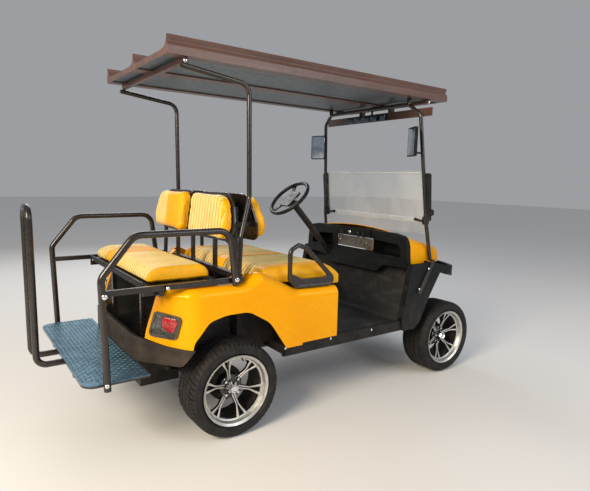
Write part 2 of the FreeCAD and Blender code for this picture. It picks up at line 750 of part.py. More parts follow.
def bench():
    low = front_cushion_low
    base = box((bench_hinge_x, pod_front + 20), (-bench_half, bench_half), (low - base_thick, low))
    wall = hinge_pin + hinge_wall
    for y in (-360, 300):
        leaf_plate = box((bench_hinge_x - wall, bench_hinge_x), (y, y + 60), (low - base_thick, bench_hinge_z))
        start, end = V(bench_hinge_x, y, bench_hinge_z), V(bench_hinge_x, y + 60, bench_hinge_z)
        barrel = leaf_plate.fuse(rod(start, end, wall))
        base = base.fuse(barrel.cut(rod(start, end, hinge_pin + running_clearance)))
    save("front_seat_base", base.removeSplitter())
    top, seat = low + front_cushion_high, low + cushion_gap
    side = [(bench_rear + 5, seat, 10), (bench_rear + 5, top, 30), (bench_front - 90, top - 8, 60),
            (bench_front, top - 50, 40), (bench_front, 724, 12), (pod_front + 30, 724, 12), (pod_front + 30, seat, 0)]
    cushion = prism(side, "y", -bench_half, bench_half)
    ends = [edge for edge in cushion.Edges if abs(edge.BoundBox.YLength) < 1 and edge.BoundBox.ZMin > seat + 12]
    save("front_cushion", cushion.makeFillet(9, ends))


def rear_seat():
    top = deck_top
    board = box((deck_rear, deck_front), (-deck_half, deck_half), (top - deck_thick, top))
    start, end = V(deck_hinge_x, -deck_half, deck_hinge_z), V(deck_hinge_x, deck_half, deck_hinge_z)
    strip = box((deck_hinge_x, deck_rear), (-deck_half, deck_half), (top - 4, top))
    strip = strip.fuse(rod(start, end, deck_hinge_z - deck_top + 2))
    board = board.fuse(strip).cut(rod(start, end, hinge_pin + running_clearance))
    save("rear_deck", board.removeSplitter())
    save("rear_cushion", pad((deck_rear + 12, deck_front - 20), (-deck_half + 6, deck_half - 6),
                             (top + cushion_gap, top + rear_cushion_high), 22))


# Backrest pads: name, height line's x at the pads' foot, lean in degrees, and the way that they face.
backrests = (("rear_backrests", 18.0, 7.0, -1), ("front_backrests", 188.0, -10.0, 1))


def back_outline(grow):
    """Outline of the left backrest, as (y, z, corner radius) rows, with its outer top cut well round."""
    near, far = back_y - back_half - grow, back_y + back_half + grow
    low, high = back_low - grow, back_low + back_high + grow
    return [(near, low, 40), (far - 25, low + 8, 60), (far, low + 100, 120), (far - 60, high, 110), (near, high, 45)]


def seat_backs():
    for name, x, lean, facing in backrests:
        back, front = (x, x + back_thick) if facing > 0 else (x - back_thick, x)
        block = prism(back_outline(0), "x", back, front)
        edges = [edge for edge in block.Edges if edge.BoundBox.XLength < 1
                 and abs(edge.BoundBox.XMin - (front if facing > 0 else back)) < 1]
        block = block.makeFillet(20, edges)
        block.rotate(V(x, 0, back_low), Y, lean)
        save(name, pair(block))


def seat_back_frame():
    """Uprights, cross bars and the moulded shells that the backrest pads sit against."""
    parts = []
    for _, x, lean, facing in backrests:
        seat = x - facing * seat_gap
        face = seat - facing * shell_thick
        shell = prism(back_outline(4), "x", min(seat, face), max(seat, face))
        shell.rotate(V(x, 0, back_low), Y, lean)
        parts.extend(pair(shell))
    for y in (-back_y - 120, -back_y + 120, back_y - 120, back_y + 120):
        parts.append(box((83, 103), (y - 12, y + 12), (700, back_low + 180)))
    wide = back_y + 181
    parts.append(box((78, 108), (-wide, wide), (deck_top - 30, deck_top)))
    parts.append(box((36, 168), (-wide, wide), (back_low + 78, back_low + 104)))
    for y in (-rail_y, rail_y):
        parts.append(box((78, 108), (y - 15, y + 15), (floor_low, 730)))
    parts.append(box((78, 108), (-wide, wide), (700, 730)))
    wall = hinge_pin + hinge_wall
    for y, pin_from, pin_to in ((-373, -373, -300), (361, 300, 373)):
        parts.append(box((100, bench_hinge_x), (y, y + 12), (bench_hinge_z - wall, bench_hinge_z + wall)))
        parts.append(rod(V(bench_hinge_x, y, bench_hinge_z), V(bench_hinge_x, y + 12, bench_hinge_z), wall))
        pin = V(bench_hinge_x, pin_from, bench_hinge_z)
        parts.append(rod(pin, pin + Y * (pin_to - pin_from), hinge_pin))
    save("seat_back_frame", fuse(parts))


def hip_restraints():
    y = -(body_half_width - 32)
    base = lambda x: V(x, y, pod_top(x) + hip_lift)
    loop = [base(480), base(385), V(341, y, 800), V(341, y, 960), V(395, y, 985), V(450, y, 965),
            V(pod_front + 8, y, 772), base(pod_front - 30), base(540)]
    arm = tube(loop, hip_tube, [0, 30, 30, 40, 20, 40, 26, 24, 0])
    sleeve = rod(base(465), base(555), hip_tube + 1.2)
    plate = prism([(348, 778, 10), (400, pod_top(400) + 8, 6), (pod_front - 30, pod_top(pod_front - 30) + 8, 6),
                   (pod_front - 6, 785, 10), (pod_front - 26, 812, 8), (pod_front - 60, 792, 40), (420, 796, 40),
                   (345, 832, 8)], "y", y - 11, y + 11)
    save("hip_restraints", pair(fuse([arm, sleeve, plate])))


# Tube work at the rear

def side_rails():
    y = -side_tube_y
    path = [V(-633, y, foot_top - 30), V(-646, y, 900), V(-500, y, 1080), V(-30, y, 1083), V(3, y, fender_top)]
    rail = tube(path, rail_tube, [0, 60, 70, 70, 0])
    bar = box((-640, 60), (y + 20, y + 40), (fender_top + 7.5, deck_top + 8))
    save("side_rails", pair(fuse([rail, bar])))


def rear_seat_frame():
    parts = []
    under = deck_top - deck_thick - seat_gap
    bar_inner = side_bar_y - 20
    for y in (-rail_y, rail_y):
        parts.append(box((-380, -355), (y - 12, y + 12), (floor_low, under)))
    parts.append(box((-380, -355), (-bar_inner, bar_inner), (under - 25, under)))
    parts.append(box((-60, -35), (-well_half + seat_gap, well_half - seat_gap), (under - 6, under)))
    for y in (-rail_y, rail_y):
        parts.append(box((-380, -35), (y - 12, y + 12), (under - 25, under)))
    near, far = deck_half + 5, deck_half + 13
    wall = hinge_pin + hinge_wall
    for side in (1, -1):
        lug = box((deck_hinge_x - wall, -355), (near, far), (under - 25, under))
        lug = lug.fuse(box((deck_hinge_x - wall, deck_hinge_x + wall), (near, far), (under - 25, deck_hinge_z)))
        lug = lug.fuse(rod(V(deck_hinge_x, near, deck_hinge_z), V(deck_hinge_x, far, deck_hinge_z), wall))
        lug = lug.fuse(rod(V(deck_hinge_x, near - 45, deck_hinge_z), V(deck_hinge_x, far, deck_hinge_z), hinge_pin))
        parts.append(lug if side > 0 else mirror(lug))
    save("rear_seat_frame", fuse(parts))


def foot_plate():
    plan = [(foot_rear, -foot_half, 60), (foot_rear, foot_half, 60), (foot_front, foot_half, 0),
            (foot_front, -foot_half, 0)]
    plate = prism(plan, "z", foot_top - foot_thick, foot_top)
    save("foot_plate", plate)
    top = foot_top - foot_thick - seat_gap
    inner = [(foot_rear + 30, -foot_half + 30, 30), (foot_rear + 30, foot_half - 30, 30),
             (foot_front - 30, foot_half - 30, 0), (foot_front - 30, -foot_half + 30, 0)]
    edge = prism(plan, "z", top - foot_edge, top).cut(prism(inner, "z", top - 20, top + 5))
    arms = pair(box((foot_rear + 15, -430), (rail_y - 15, rail_y + 15), (top - 50, top - foot_edge)))
    save("foot_frame", fuse([edge] + arms))


def grab_bar():
    z = foot_top - foot_thick - foot_edge - 2 * seat_gap - grab_tube
    path = [V(foot_rear + 60, -grab_y, z), V(grab_x, -grab_y, z), V(grab_x, -grab_y, grab_top - grab_tube),
            V(grab_x, grab_y, grab_top - grab_tube), V(grab_x, grab_y, z), V(foot_rear + 60, grab_y, z)]
    save("grab_bar", tube(path, grab_tube, [0, 50, 60, 60, 50, 0]))


# Roof and its supports

def rib_rows(rows, side, base):
    return [(side * u, base + v, radius) for u, v, radius in rows]


def roof():
    """Two flat pans between crowned ribs, which run the length of the roof and show their profile at its ends."""
    half, high, top = roof_half, fascia_high, pan_lift + pan_thick + seat_gap
    # Across and up from the roof's underside, with a corner radius: a side rib and the middle rib.
    side_rows = [(half, 0, 0), (half, high * 0.45, 5), (half - 17, high * 0.67, 8), (half - 11, high * 0.84, 4),
                 (half - 8, high, 0), (half - 16, high, 0), (half - 24, top + 14, 50),
                 (half - side_rib - 34, top + 8, 0), (half - side_rib - 34, top, 0), (half - side_rib, top, 0),
                 (half - side_rib, 0, 0)]
    mid_rows = [(rib_half, 0, 0), (rib_half, top, 0), (rib_half + 26, top, 0), (rib_half + 26, top + 8, 0),
                (12, top + 14, 40), (5, high, 0)]
    mid_rows = mid_rows + [(-u, v, radius) for u, v, radius in reversed(mid_rows)]
    ribs = [prism(rib_rows(side_rows, side, roof_low), "x", roof_rear, roof_front) for side in (1, -1)]
    ribs.append(prism(rib_rows(mid_rows, 1, roof_low), "x", roof_rear, roof_front))
    for x in (roof_rear, roof_front - 5):
        ribs.append(box((x, x + 5), (-half + 1, half - 1), (roof_low, roof_low + top + 8)))
    save("roof_fascia", fuse(ribs))
    low = roof_low + pan_lift
    pans = box((roof_rear + 5 + seat_gap, roof_front - 5 - seat_gap),
               (rib_half + seat_gap, half - side_rib - seat_gap), (low, low + pan_thick))
    save("roof_pan", pair(pans))
    low = roof_low - beam_size - seat_gap
    beams = [box((x, x + beam_size), (-half + 20, half - 20), (low, low + beam_size))
             for x in (rear_beam_x, front_beam_x)]
    strip_x = front_beam_x - 28
    valance = [box((strip_x, strip_x + 8), (-half - 41, half + 41), (1776, 1830))]
    for y in (-150, 150):
        valance.append(box((strip_x + 4, front_beam_x + 10), (y - 15, y + 15), (1815, low + 10)))
    save("roof_beams", [beams[0], fuse([beams[1]] + valance)])


def struts():
    low = roof_low - beam_size - 2 * seat_gap - strut_tube
    y = -(roof_half - 18)
    out = -(side_bar_y - strut_tube - seat_gap - 20)
    upper = [V(-237, y, low), V(124, y, low - 45), V(131, y, 1240), V(60, out, 1040), V(50, out, fender_top + 8)]
    strut = tube(upper, strut_tube, [0, 60, 40, 40, 0])
    lug = rod(V(-215, y, low - 3), V(-215, y, low + strut_tube + seat_gap), 9)
    save("rear_struts", pair(strut.fuse(lug)))
    path = [post_foot, post_waist, post_shoulder, post_top]
    path += [flip(point) for point in reversed(path)]
    parts = [tube(path, strut_tube, [0, 0, 40, 60, 60, 40, 0, 0])]
    near, far = 5, screen_ahead - seat_gap
    low, high = screen_fold + 7, screen_top - 40
    clip = [(post_at(z).x + reach, z, 0) for z, reach in ((low, near), (low, far), (high, far), (high, near))]
    outside = -body_half_width - seat_gap
    foot_x = post_foot.x
    strap = [(foot_x - 31, 818, 8), (foot_x + 5, 828, 8), (foot_x - 124, 600, 10), (foot_x - 157, 612, 10)]
    for piece in (prism(clip, "y", post_at(screen_fold).y - 2, -screen_half + 12),
                  rod(post_top, V(post_top.x, post_top.y, roof_low + pan_lift - seat_gap), 14),
                  prism(strap, "y", outside - 10, outside),
                  box((foot_x - 16, foot_x + 3), (outside - 5, post_foot.y), (815, 826))):
        parts.extend(pair(piece))
    save("front_posts", fuse(parts))


def post_at(z):
    """Centre of the right-hand front post at a height above the screen's foot."""
    share = (z - post_waist.z) / (post_shoulder.z - post_waist.z)
    return post_waist + (post_shoulder - post_waist) * share


def windshield():
    def sheet(bottom, ahead):
        place = lambda z: post_at(z).x + screen_ahead + ahead
        foot, head = place(bottom), place(screen_top)
        side = [(foot, bottom, 0), (head, screen_top, 0), (head + 5, screen_top, 0), (foot + 5, bottom, 0)]
        return prism(side, "y", -screen_half, screen_half)

    hinge_x = post_at(screen_top).x + strut_tube + 10
    hinge = rod(V(hinge_x, -screen_half, screen_top), V(hinge_x, screen_half, screen_top), 9)
    save("windshield", fuse([sheet(screen_low, 0), sheet(screen_fold, 12), hinge]))


def steering():
    down = steering_down
    ring = Part.makeTorus(steer_wheel_radius - steer_wheel_tube, steer_wheel_tube, V(0, 0, 0), Z)
    hub = turned([(-60, 0), (-60, 30), (-30, 45), (-16, 50), (-16, 0)], V(0, 0, 0), Z)
    plate = prism([(-72, -60, 12), (72, -60, 12), (72, 60, 12), (-72, 60, 12)], "z", -16, 0)
    parts = [ring, hub, plate, Part.makeCylinder(shaft_radius, 120, V(0, 0, -120))]
    for turn in range(3):
        spoke = box((-14, 14), (0, steer_wheel_radius - 15), (-14, -4))
        spoke.rotate(V(0, 0, 0), Z, 120 * turn - 60)
        parts.append(spoke)
    wheel = fuse(parts)
    wheel.rotate(V(0, 0, 0), Y, -(90 - column_slope))
    wheel.translate(steer_wheel)
    save("steering_wheel", wheel)
    start = steer_wheel + down * 65
    column = rod(start, steer_wheel + down * column_length, column_radius)
    column = column.cut(rod(start - down, steer_wheel + down * 130, shaft_radius + running_clearance))
    save("steering_column", column)


def mirrors():
    x, low, high = post_top.x, 1765, 1806
    inside = prism([(-212, low, 10), (212, low, 10), (212, high, 10), (-212, high, 10)], "x", x - 8, x + 4)
    stems = [box((x - 6, x + 2), (y - 6, y + 6), (high - 5, post_top.z - strut_tube - seat_gap)) for y in (-60, 60)]
    parts = [fuse([inside] + stems)]
    # Both side mirrors are turned to the driver on the left; each stands on a stem from its front post.
    stem_z = side_mirror_low + 25
    post = post_at(stem_z)
    for turn, centre, target in ((15, V(side_mirror_x, side_mirror_y, 0), flip(post)),
                                 (-30, V(side_mirror_x, -side_mirror_y, 0), post)):
        glass = box((-10, 10), (-side_mirror_half, side_mirror_half), (side_mirror_low, side_mirror_high))
        glass = glass.makeFillet(12, [edge for edge in glass.Edges if edge.BoundBox.XLength > 15])
        glass.rotate(V(0, 0, 0), Z, turn)
        glass.translate(centre)
        start = centre + Z * stem_z
        reach = target - start
        parts.append(glass.fuse(rod(start, target - reach.normalize() * (strut_tube + 2 * seat_gap), 6)))
    save("mirrors", parts)


os.makedirs("parts", exist_ok=True)
wheels()
rear_axle()
motor()
batteries()
front_axle()
knuckles()
tie_rod()
springs()
main_frame()
floor_pan()
rockers()
rear_body()
rear_bumper()
front_cowl()
front_bumper()
front_aprons()
dash()
pedals()
lamps()
bench()
rear_seat()
seat_backs()
seat_back_frame()
hip_restraints()
side_rails()
rear_seat_frame()
foot_plate()
grab_bar()
roof()
struts()
windshield()
steering()
mirrors()
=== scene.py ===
import json
import math

import bpy
import numpy as np
from mathutils import Matrix, Vector, noise


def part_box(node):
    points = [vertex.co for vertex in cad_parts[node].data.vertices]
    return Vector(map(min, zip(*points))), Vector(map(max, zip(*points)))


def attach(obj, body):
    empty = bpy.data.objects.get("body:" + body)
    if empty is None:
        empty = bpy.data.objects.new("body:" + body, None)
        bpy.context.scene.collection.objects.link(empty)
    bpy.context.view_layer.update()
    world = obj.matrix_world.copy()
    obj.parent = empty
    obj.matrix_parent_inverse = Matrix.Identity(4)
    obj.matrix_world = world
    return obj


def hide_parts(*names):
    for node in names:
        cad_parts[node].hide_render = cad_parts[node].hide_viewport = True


# A four-seat golf cart in golden yellow and black, seen from behind on its right.
# Metres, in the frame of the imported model: +X forward, +Y the cart's left, z = 0 the ground.

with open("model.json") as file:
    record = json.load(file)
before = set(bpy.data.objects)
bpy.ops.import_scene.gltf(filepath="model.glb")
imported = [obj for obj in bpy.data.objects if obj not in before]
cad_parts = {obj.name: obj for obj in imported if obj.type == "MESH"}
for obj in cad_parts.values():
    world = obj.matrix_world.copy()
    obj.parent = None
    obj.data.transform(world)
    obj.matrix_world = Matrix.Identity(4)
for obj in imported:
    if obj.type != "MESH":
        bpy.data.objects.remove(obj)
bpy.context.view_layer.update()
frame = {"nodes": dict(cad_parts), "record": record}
nodes = frame["nodes"]

# The camera stands at the photograph's place, and its lens gives the photograph's field of view.
camera_place = Vector((-1.7184, -2.7155, 1.3366))
camera_yaw = 0.9430
camera_pitch = -0.1475
camera_roll = 0.0250
camera_lens = 30.011
camera_shift = (-0.00478, 0.01305)
floor_half = 30.0


def middle(node):
    low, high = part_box(node)
    return (Vector(low) + Vector(high)) / 2


def size(node):
    low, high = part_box(node)
    return Vector(high) - Vector(low)


# Places below are measured forward from the rear axle, as in the part's source.
axle_x = middle("tyre_rear_right").x
tyre_half = size("tyre_rear_right").y / 2
wheelbase = middle("tyre_front_right").x - axle_x
body_half = size("rear_body").y / 2


def at(x, y, z):
    return Vector((axle_x + x, y, z))


def linked(name, data):
    thing = bpy.data.objects.new(name, data)
    bpy.context.scene.collection.objects.link(thing)
    return thing


# Camera, light and floor

def make_camera():
    data = bpy.data.cameras.new("camera")
    data.lens = camera_lens
    data.shift_x, data.shift_y = camera_shift
    data.clip_end = 100.0
    camera = linked("camera", data)
    ahead = Vector((math.cos(camera_pitch) * math.cos(camera_yaw),
                    math.cos(camera_pitch) * math.sin(camera_yaw), math.sin(camera_pitch)))
    side = Vector((math.sin(camera_yaw), -math.cos(camera_yaw), 0.0))
    up = side.cross(ahead)
    right = side * math.cos(camera_roll) + up * math.sin(camera_roll)
    top = up * math.cos(camera_roll) - side * math.sin(camera_roll)
    turn = Matrix((right, top, -ahead)).transposed().to_4x4()
    camera.matrix_world = Matrix.Translation(camera_place) @ turn
    bpy.context.scene.camera = camera


def area_light(name, place, target, extent, watts, colour=(1.0, 1.0, 1.0)):
    data = bpy.data.lights.new(name, "AREA")
    data.shape = "RECTANGLE"
    data.size, data.size_y = extent
    data.energy = watts
    data.color = colour
    lamp = linked(name, data)
    lamp.location = place
    lamp.rotation_mode = "QUATERNION"
    lamp.rotation_quaternion = (Vector(target) - Vector(place)).to_track_quat("-Z", "Y")


def make_light():
    area_light("key_light", (-4.8, -2.2, 3.2), (0, 0, 0.8), (2.0, 2.0), 470, (1.0, 0.85, 0.64))
    area_light("fill_light", (2.5, -5.5, 3.5), (0, 0, 0.8), (4.0, 3.0), 170, (0.95, 0.97, 1.0))
    area_light("rim_light", (0.5, 5.0, 4.0), (0, 0, 1.0), (4.0, 2.0), 160)
    world = bpy.data.worlds.new("studio")
    bpy.context.scene.world = world
    bpy.context.scene.view_settings.view_transform = "Standard"
    bpy.context.scene.view_settings.exposure = -0.5
    world.use_nodes = True
    world.node_tree.nodes["Background"].inputs["Color"].default_value = (0.86, 0.88, 0.92, 1)
    world.node_tree.nodes["Background"].inputs["Strength"].default_value = 0.55


def make_floor():
    mesh = bpy.data.meshes.new("floor")
    corners = [(x * floor_half, y * floor_half, 0) for x, y in ((-1, -1), (1, -1), (1, 1), (-1, 1))]
    mesh.from_pydata(corners, [], [(0, 1, 2, 3)])
    linked("floor", mesh)


# Pitch and depth of the sewn ribs on the seats, depth and half width of a seam, and the soft edge of a zone.
rib_pitch = 0.033
rib_depth = 0.009
seam_depth = 0.005
seam_reach = 0.0035
zone_edge = 0.0006


# Materials

class Surface:
    """A procedural material, laid out in its object's own coordinates, in metres."""

    def __init__(self, name, roughness, metallic=0.0, coat=0.0, specular=0.5):
        self.material = bpy.data.materials.new(name)
        self.material.use_nodes = True
        self.tree = self.material.node_tree
        self.shader = self.tree.nodes["Principled BSDF"]
        for socket, value in (("Roughness", roughness), ("Metallic", metallic), ("Coat Weight", coat),
                              ("Coat Roughness", 0.1), ("Specular IOR Level", specular)):
            self.shader.inputs[socket].default_value = value
        self.place = self.add("TexCoord").outputs["Object"]

    def add(self, kind, **values):
        node = self.tree.nodes.new("ShaderNode" + kind)
        for key, value in values.items():
            self.put(node.inputs[key.replace("_", " ").title()], value)
        return node

    def put(self, socket, value):
        if isinstance(value, bpy.types.NodeSocket):
            self.tree.links.new(value, socket)
        elif isinstance(value, tuple) and len(value) == 3 and socket.type == "RGBA":
            socket.default_value = (*value, 1)
        else:
            socket.default_value = value

    def noise(self, scale, detail=3.0, stretch=None):
        place = self.place
        if stretch:
            place = self.add("Mapping", vector=self.place, scale=stretch).outputs["Vector"]
        return self.add("TexNoise", vector=place, scale=scale, detail=detail).outputs["Fac"]

    def cells(self, scale):
        return self.add("TexVoronoi", vector=self.place, scale=scale).outputs["Distance"]

    def ramp(self, source, *stops):
        """Colours or greys along a value, as (position, colour) pairs in rising order."""
        node = self.add("ValToRGB", fac=source)
        elements = node.color_ramp.elements
        while len(elements) < len(stops):
            elements.new(0.5)
        for element, (position, colour) in zip(elements, stops):
            element.position = position
            element.color = (*colour, 1) if isinstance(colour, tuple) else (colour, colour, colour, 1)
        return node.outputs["Color"]

    def mix(self, share, first, second):
        node = self.tree.nodes.new("ShaderNodeMix")
        node.data_type = "RGBA"
        for index, value in ((0, share), (6, first), (7, second)):
            self.put(node.inputs[index], value)
        return node.outputs[2]

    def stain(self, base, spots, weight, colour):
        """Lays a colour over the base where the spots are, by the weight at most."""
        return self.mix(self.times(spots, weight), base, colour)

    def along(self, axis):
        return self.add("SeparateXYZ", vector=self.place).outputs[axis]

    def span(self, source, low, high):
        """Rises from 0 to 1 while the source goes from low to high, or falls where low is the greater."""
        node = self.tree.nodes.new("ShaderNodeMapRange")
        for index, value in enumerate((source, low, high, 0.0, 1.0)):
            self.put(node.inputs[index], value)
        return node.outputs[0]

    def maths(self, kind, first, second):
        node = self.tree.nodes.new("ShaderNodeMath")
        node.operation = kind
        self.put(node.inputs[0], first)
        self.put(node.inputs[1], second)
        return node.outputs[0]

    def times(self, first, second):
        return self.maths("MULTIPLY", first, second)

    def varied(self, scale, detail, *stops):
        """Noise turned into colours or greys."""
        return self.ramp(self.noise(scale, detail), *stops)

    def spots(self, scale, detail, low, high):
        """Noise turned into patches, 1 where it is past high and 0 below low."""
        return self.span(self.noise(scale, detail), low, high)

    def bump(self, height, distance):
        node = self.add("Bump", height=height, distance=distance)
        self.tree.links.new(node.outputs["Normal"], self.shader.inputs["Normal"])

    def colour(self, value):
        self.put(self.shader.inputs["Base Color"], value)

    def rough(self, value):
        self.put(self.shader.inputs["Roughness"], value)


def paint_surface():
    """Golden yellow gloss: deeper towards orange in large soft patches, road dust low down."""
    skin = Surface("golden_paint", 0.3, coat=0.12, specular=0.4)
    skin.shader.inputs["Specular Tint"].default_value = (1.0, 0.66, 0.12, 1.0)
    patches = skin.noise(2.2, 2.0)
    golden = skin.ramp(patches, (0.3, (0.85, 0.33, 0.0)), (0.65, (0.92, 0.4, 0.001)))
    dust = skin.times(skin.span(skin.along("Z"), 0.62, 0.4), skin.spots(26.0, 6.0, 0.42, 0.68))
    skin.colour(skin.stain(golden, dust, 0.06, (0.33, 0.2, 0.09)))
    skin.rough(skin.varied(60.0, 5.0, (0.35, 0.2), (0.8, 0.38)))
    skin.bump(skin.noise(900.0, 2.0), 0.00006)
    return skin.material


def plastic_surface(name, dark, light, roughness, grain, dusty=0.0):
    """Moulded plastic with a fine leather grain, scuffed paler in places."""
    skin = Surface(name, roughness, specular=0.22)
    speckle = skin.varied(240.0, 5.0, (0.35, dark), (0.75, light))
    scuffs = skin.span(skin.noise(9.0, 8.0, (1.0, 1.0, 2.5)), 0.5, 0.85)
    pale = tuple(min(1.0, channel * 2.4 + 0.02) for channel in light)
    base = skin.stain(speckle, scuffs, 0.3, pale)
    if dusty:
        low = skin.times(skin.span(skin.along("Z"), 0.75, 0.35), dusty)
        base = skin.mix(skin.times(low, skin.spots(18.0, 7.0, 0.3, 0.75)), base, (0.1, 0.07, 0.048))
    skin.colour(base)
    skin.rough(skin.varied(35.0, 6.0, (0.3, roughness - 0.12), (0.75, roughness + 0.16)))
    skin.bump(skin.cells(grain), 0.00025)
    return skin.material


def tube_surface():
    """Powder-coated steel tube in bronze black, with orange-peel gloss and small chips."""
    skin = Surface("bronze_black_tube", 0.3, coat=0.3)
    tone = skin.varied(14.0, 4.0, (0.3, (0.009, 0.007, 0.006)), (0.75, (0.022, 0.015, 0.011)))
    chips = skin.spots(130.0, 8.0, 0.71, 0.76)
    skin.colour(skin.mix(chips, tone, (0.09, 0.055, 0.035)))
    skin.rough(skin.varied(90.0, 4.0, (0.3, 0.2), (0.8, 0.42)))
    skin.bump(skin.noise(420.0, 2.0), 0.00008)
    return skin.material


def chassis_surface():
    """Matt black steel under road dirt, with rust in the speckles."""
    skin = Surface("chassis_black", 0.65, metallic=0.2)
    tone = skin.varied(40.0, 6.0, (0.3, (0.009, 0.009, 0.009)), (0.8, (0.03, 0.027, 0.024)))
    rust = skin.spots(75.0, 9.0, 0.6, 0.72)
    base = skin.stain(tone, rust, 0.75, (0.17, 0.062, 0.022))
    dirt = skin.times(skin.spots(12.0, 6.0, 0.45, 0.75), 0.5)
    skin.colour(skin.mix(dirt, base, (0.07, 0.05, 0.036)))
    skin.rough(skin.varied(55.0, 5.0, (0.3, 0.48), (0.8, 0.85)))
    skin.bump(skin.noise(300.0, 6.0), 0.0004)
    return skin.material


def roof_trim_surface():
    """Brown painted edge of the roof, weathered paler in streaks along it."""
    skin = Surface("brown_roof_trim", 0.42, coat=0.15)
    tone = skin.ramp(skin.noise(3.0, 4.0, (0.4, 2.0, 2.0)),
                     (0.3, (0.075, 0.036, 0.026)), (0.75, (0.13, 0.066, 0.05)))
    streaks = skin.span(skin.noise(20.0, 6.0, (0.25, 3.0, 3.0)), 0.55, 0.85)
    skin.colour(skin.stain(tone, streaks, 0.35, (0.24, 0.16, 0.13)))
    skin.rough(skin.varied(45.0, 5.0, (0.3, 0.32), (0.8, 0.55)))
    skin.bump(skin.noise(500.0, 3.0), 0.00012)
    return skin.material


def roof_skin_surface():
    """Pale blue-grey sheet with the long streaks that rain and cleaning leave."""
    skin = Surface("roof_sheet", 0.4)
    streaks = skin.noise(5.0, 6.0, (0.3, 5.0, 1.0))
    tone = skin.ramp(streaks, (0.25, (0.045, 0.062, 0.078)), (0.75, (0.08, 0.11, 0.135)))
    spots = skin.spots(110.0, 8.0, 0.66, 0.74)
    skin.colour(skin.stain(tone, spots, 0.5, (0.1, 0.11, 0.12)))
    skin.rough(skin.varied(30.0, 5.0, (0.3, 0.3), (0.8, 0.5)))
    skin.bump(skin.noise(380.0, 2.0), 0.0001)
    return skin.material


def plate_surface():
    """Bluish aluminium tread plate, paler and darker at random, with patches of dirt."""
    skin = Surface("tread_plate", 0.42, metallic=0.75)
    tone = skin.varied(22.0, 7.0, (0.3, (0.06, 0.13, 0.185)), (0.75, (0.12, 0.23, 0.32)))
    dirt = skin.spots(70.0, 8.0, 0.5, 0.75)
    skin.colour(skin.stain(tone, dirt, 0.35, (0.11, 0.1, 0.09)))
    skin.rough(skin.varied(80.0, 6.0, (0.3, 0.3), (0.8, 0.62)))
    skin.bump(skin.noise(320.0, 5.0), 0.00015)
    return skin.material


def tyre_surface():
    """Dull black rubber with road dust."""
    skin = Surface("tyre_rubber", 0.72, specular=0.3)
    tone = skin.varied(60.0, 6.0, (0.3, (0.008, 0.008, 0.009)), (0.8, (0.02, 0.0195, 0.0195)))
    dust = skin.times(skin.spots(20.0, 8.0, 0.45, 0.8), 0.5)
    skin.colour(skin.mix(dust, tone, (0.05, 0.04, 0.03)))
    skin.rough(skin.varied(120.0, 5.0, (0.3, 0.55), (0.8, 0.88)))
    skin.bump(skin.noise(700.0, 4.0), 0.00015)
    return skin.material


def metal_surface(name, dark, light, roughness, scratch=400.0):
    """Bright metal: machined, polished or plated, with fine brushed scratches."""
    skin = Surface(name, roughness, metallic=1.0)
    skin.colour(skin.varied(30.0, 5.0, (0.3, dark), (0.75, light)))
    skin.rough(skin.varied(70.0, 6.0, (0.3, roughness * 0.7), (0.8, roughness * 1.5)))
    skin.bump(skin.noise(scratch, 2.0), 0.000012)
    return skin.material


def gloss_surface(name, dark, light, roughness, coat=0.6):
    """Glossy plastic or enamel with slight orange peel."""
    skin = Surface(name, roughness, coat=coat)
    skin.colour(skin.varied(50.0, 4.0, (0.3, dark), (0.75, light)))
    skin.rough(skin.varied(90.0, 5.0, (0.3, roughness * 0.7), (0.85, roughness * 1.8)))
    skin.bump(skin.noise(600.0, 2.0), 0.00004)
    return skin.material


def lens_surface(name, dark, light):
    """Moulded lamp lens with small facets in the plastic."""
    skin = Surface(name, 0.12, coat=1.0)
    skin.colour(skin.varied(90.0, 3.0, (0.3, dark), (0.75, light)))
    skin.rough(skin.varied(60.0, 5.0, (0.3, 0.08), (0.85, 0.3)))
    skin.bump(skin.cells(150.0), 0.0012)
    return skin.material


def screen_surface():
    """Clear polycarbonate with wiping haze."""
    skin = Surface("clear_polycarbonate", 0.08, coat=0.4)
    haze = skin.noise(7.0, 7.0, (1.0, 1.0, 0.5))
    skin.colour(skin.ramp(haze, (0.3, (0.62, 0.68, 0.72)), (0.8, (0.85, 0.88, 0.9))))
    skin.put(skin.shader.inputs["Alpha"], skin.ramp(haze, (0.35, 0.06), (0.85, 0.18)))
    skin.rough(skin.varied(16.0, 5.0, (0.3, 0.04), (0.8, 0.2)))
    return skin.material


def fold_surface():
    """Scratched polycarbonate where the screen folds, paler and less clear than the rest."""
    skin = Surface("screen_fold_haze", 0.2, coat=0.3)
    haze = skin.noise(14.0, 6.0, (1.0, 1.0, 4.0))
    skin.colour(skin.ramp(haze, (0.3, (0.42, 0.58, 0.74)), (0.8, (0.72, 0.84, 0.95))))
    skin.put(skin.shader.inputs["Alpha"], skin.ramp(haze, (0.3, 0.4), (0.8, 0.75)))
    return skin.material


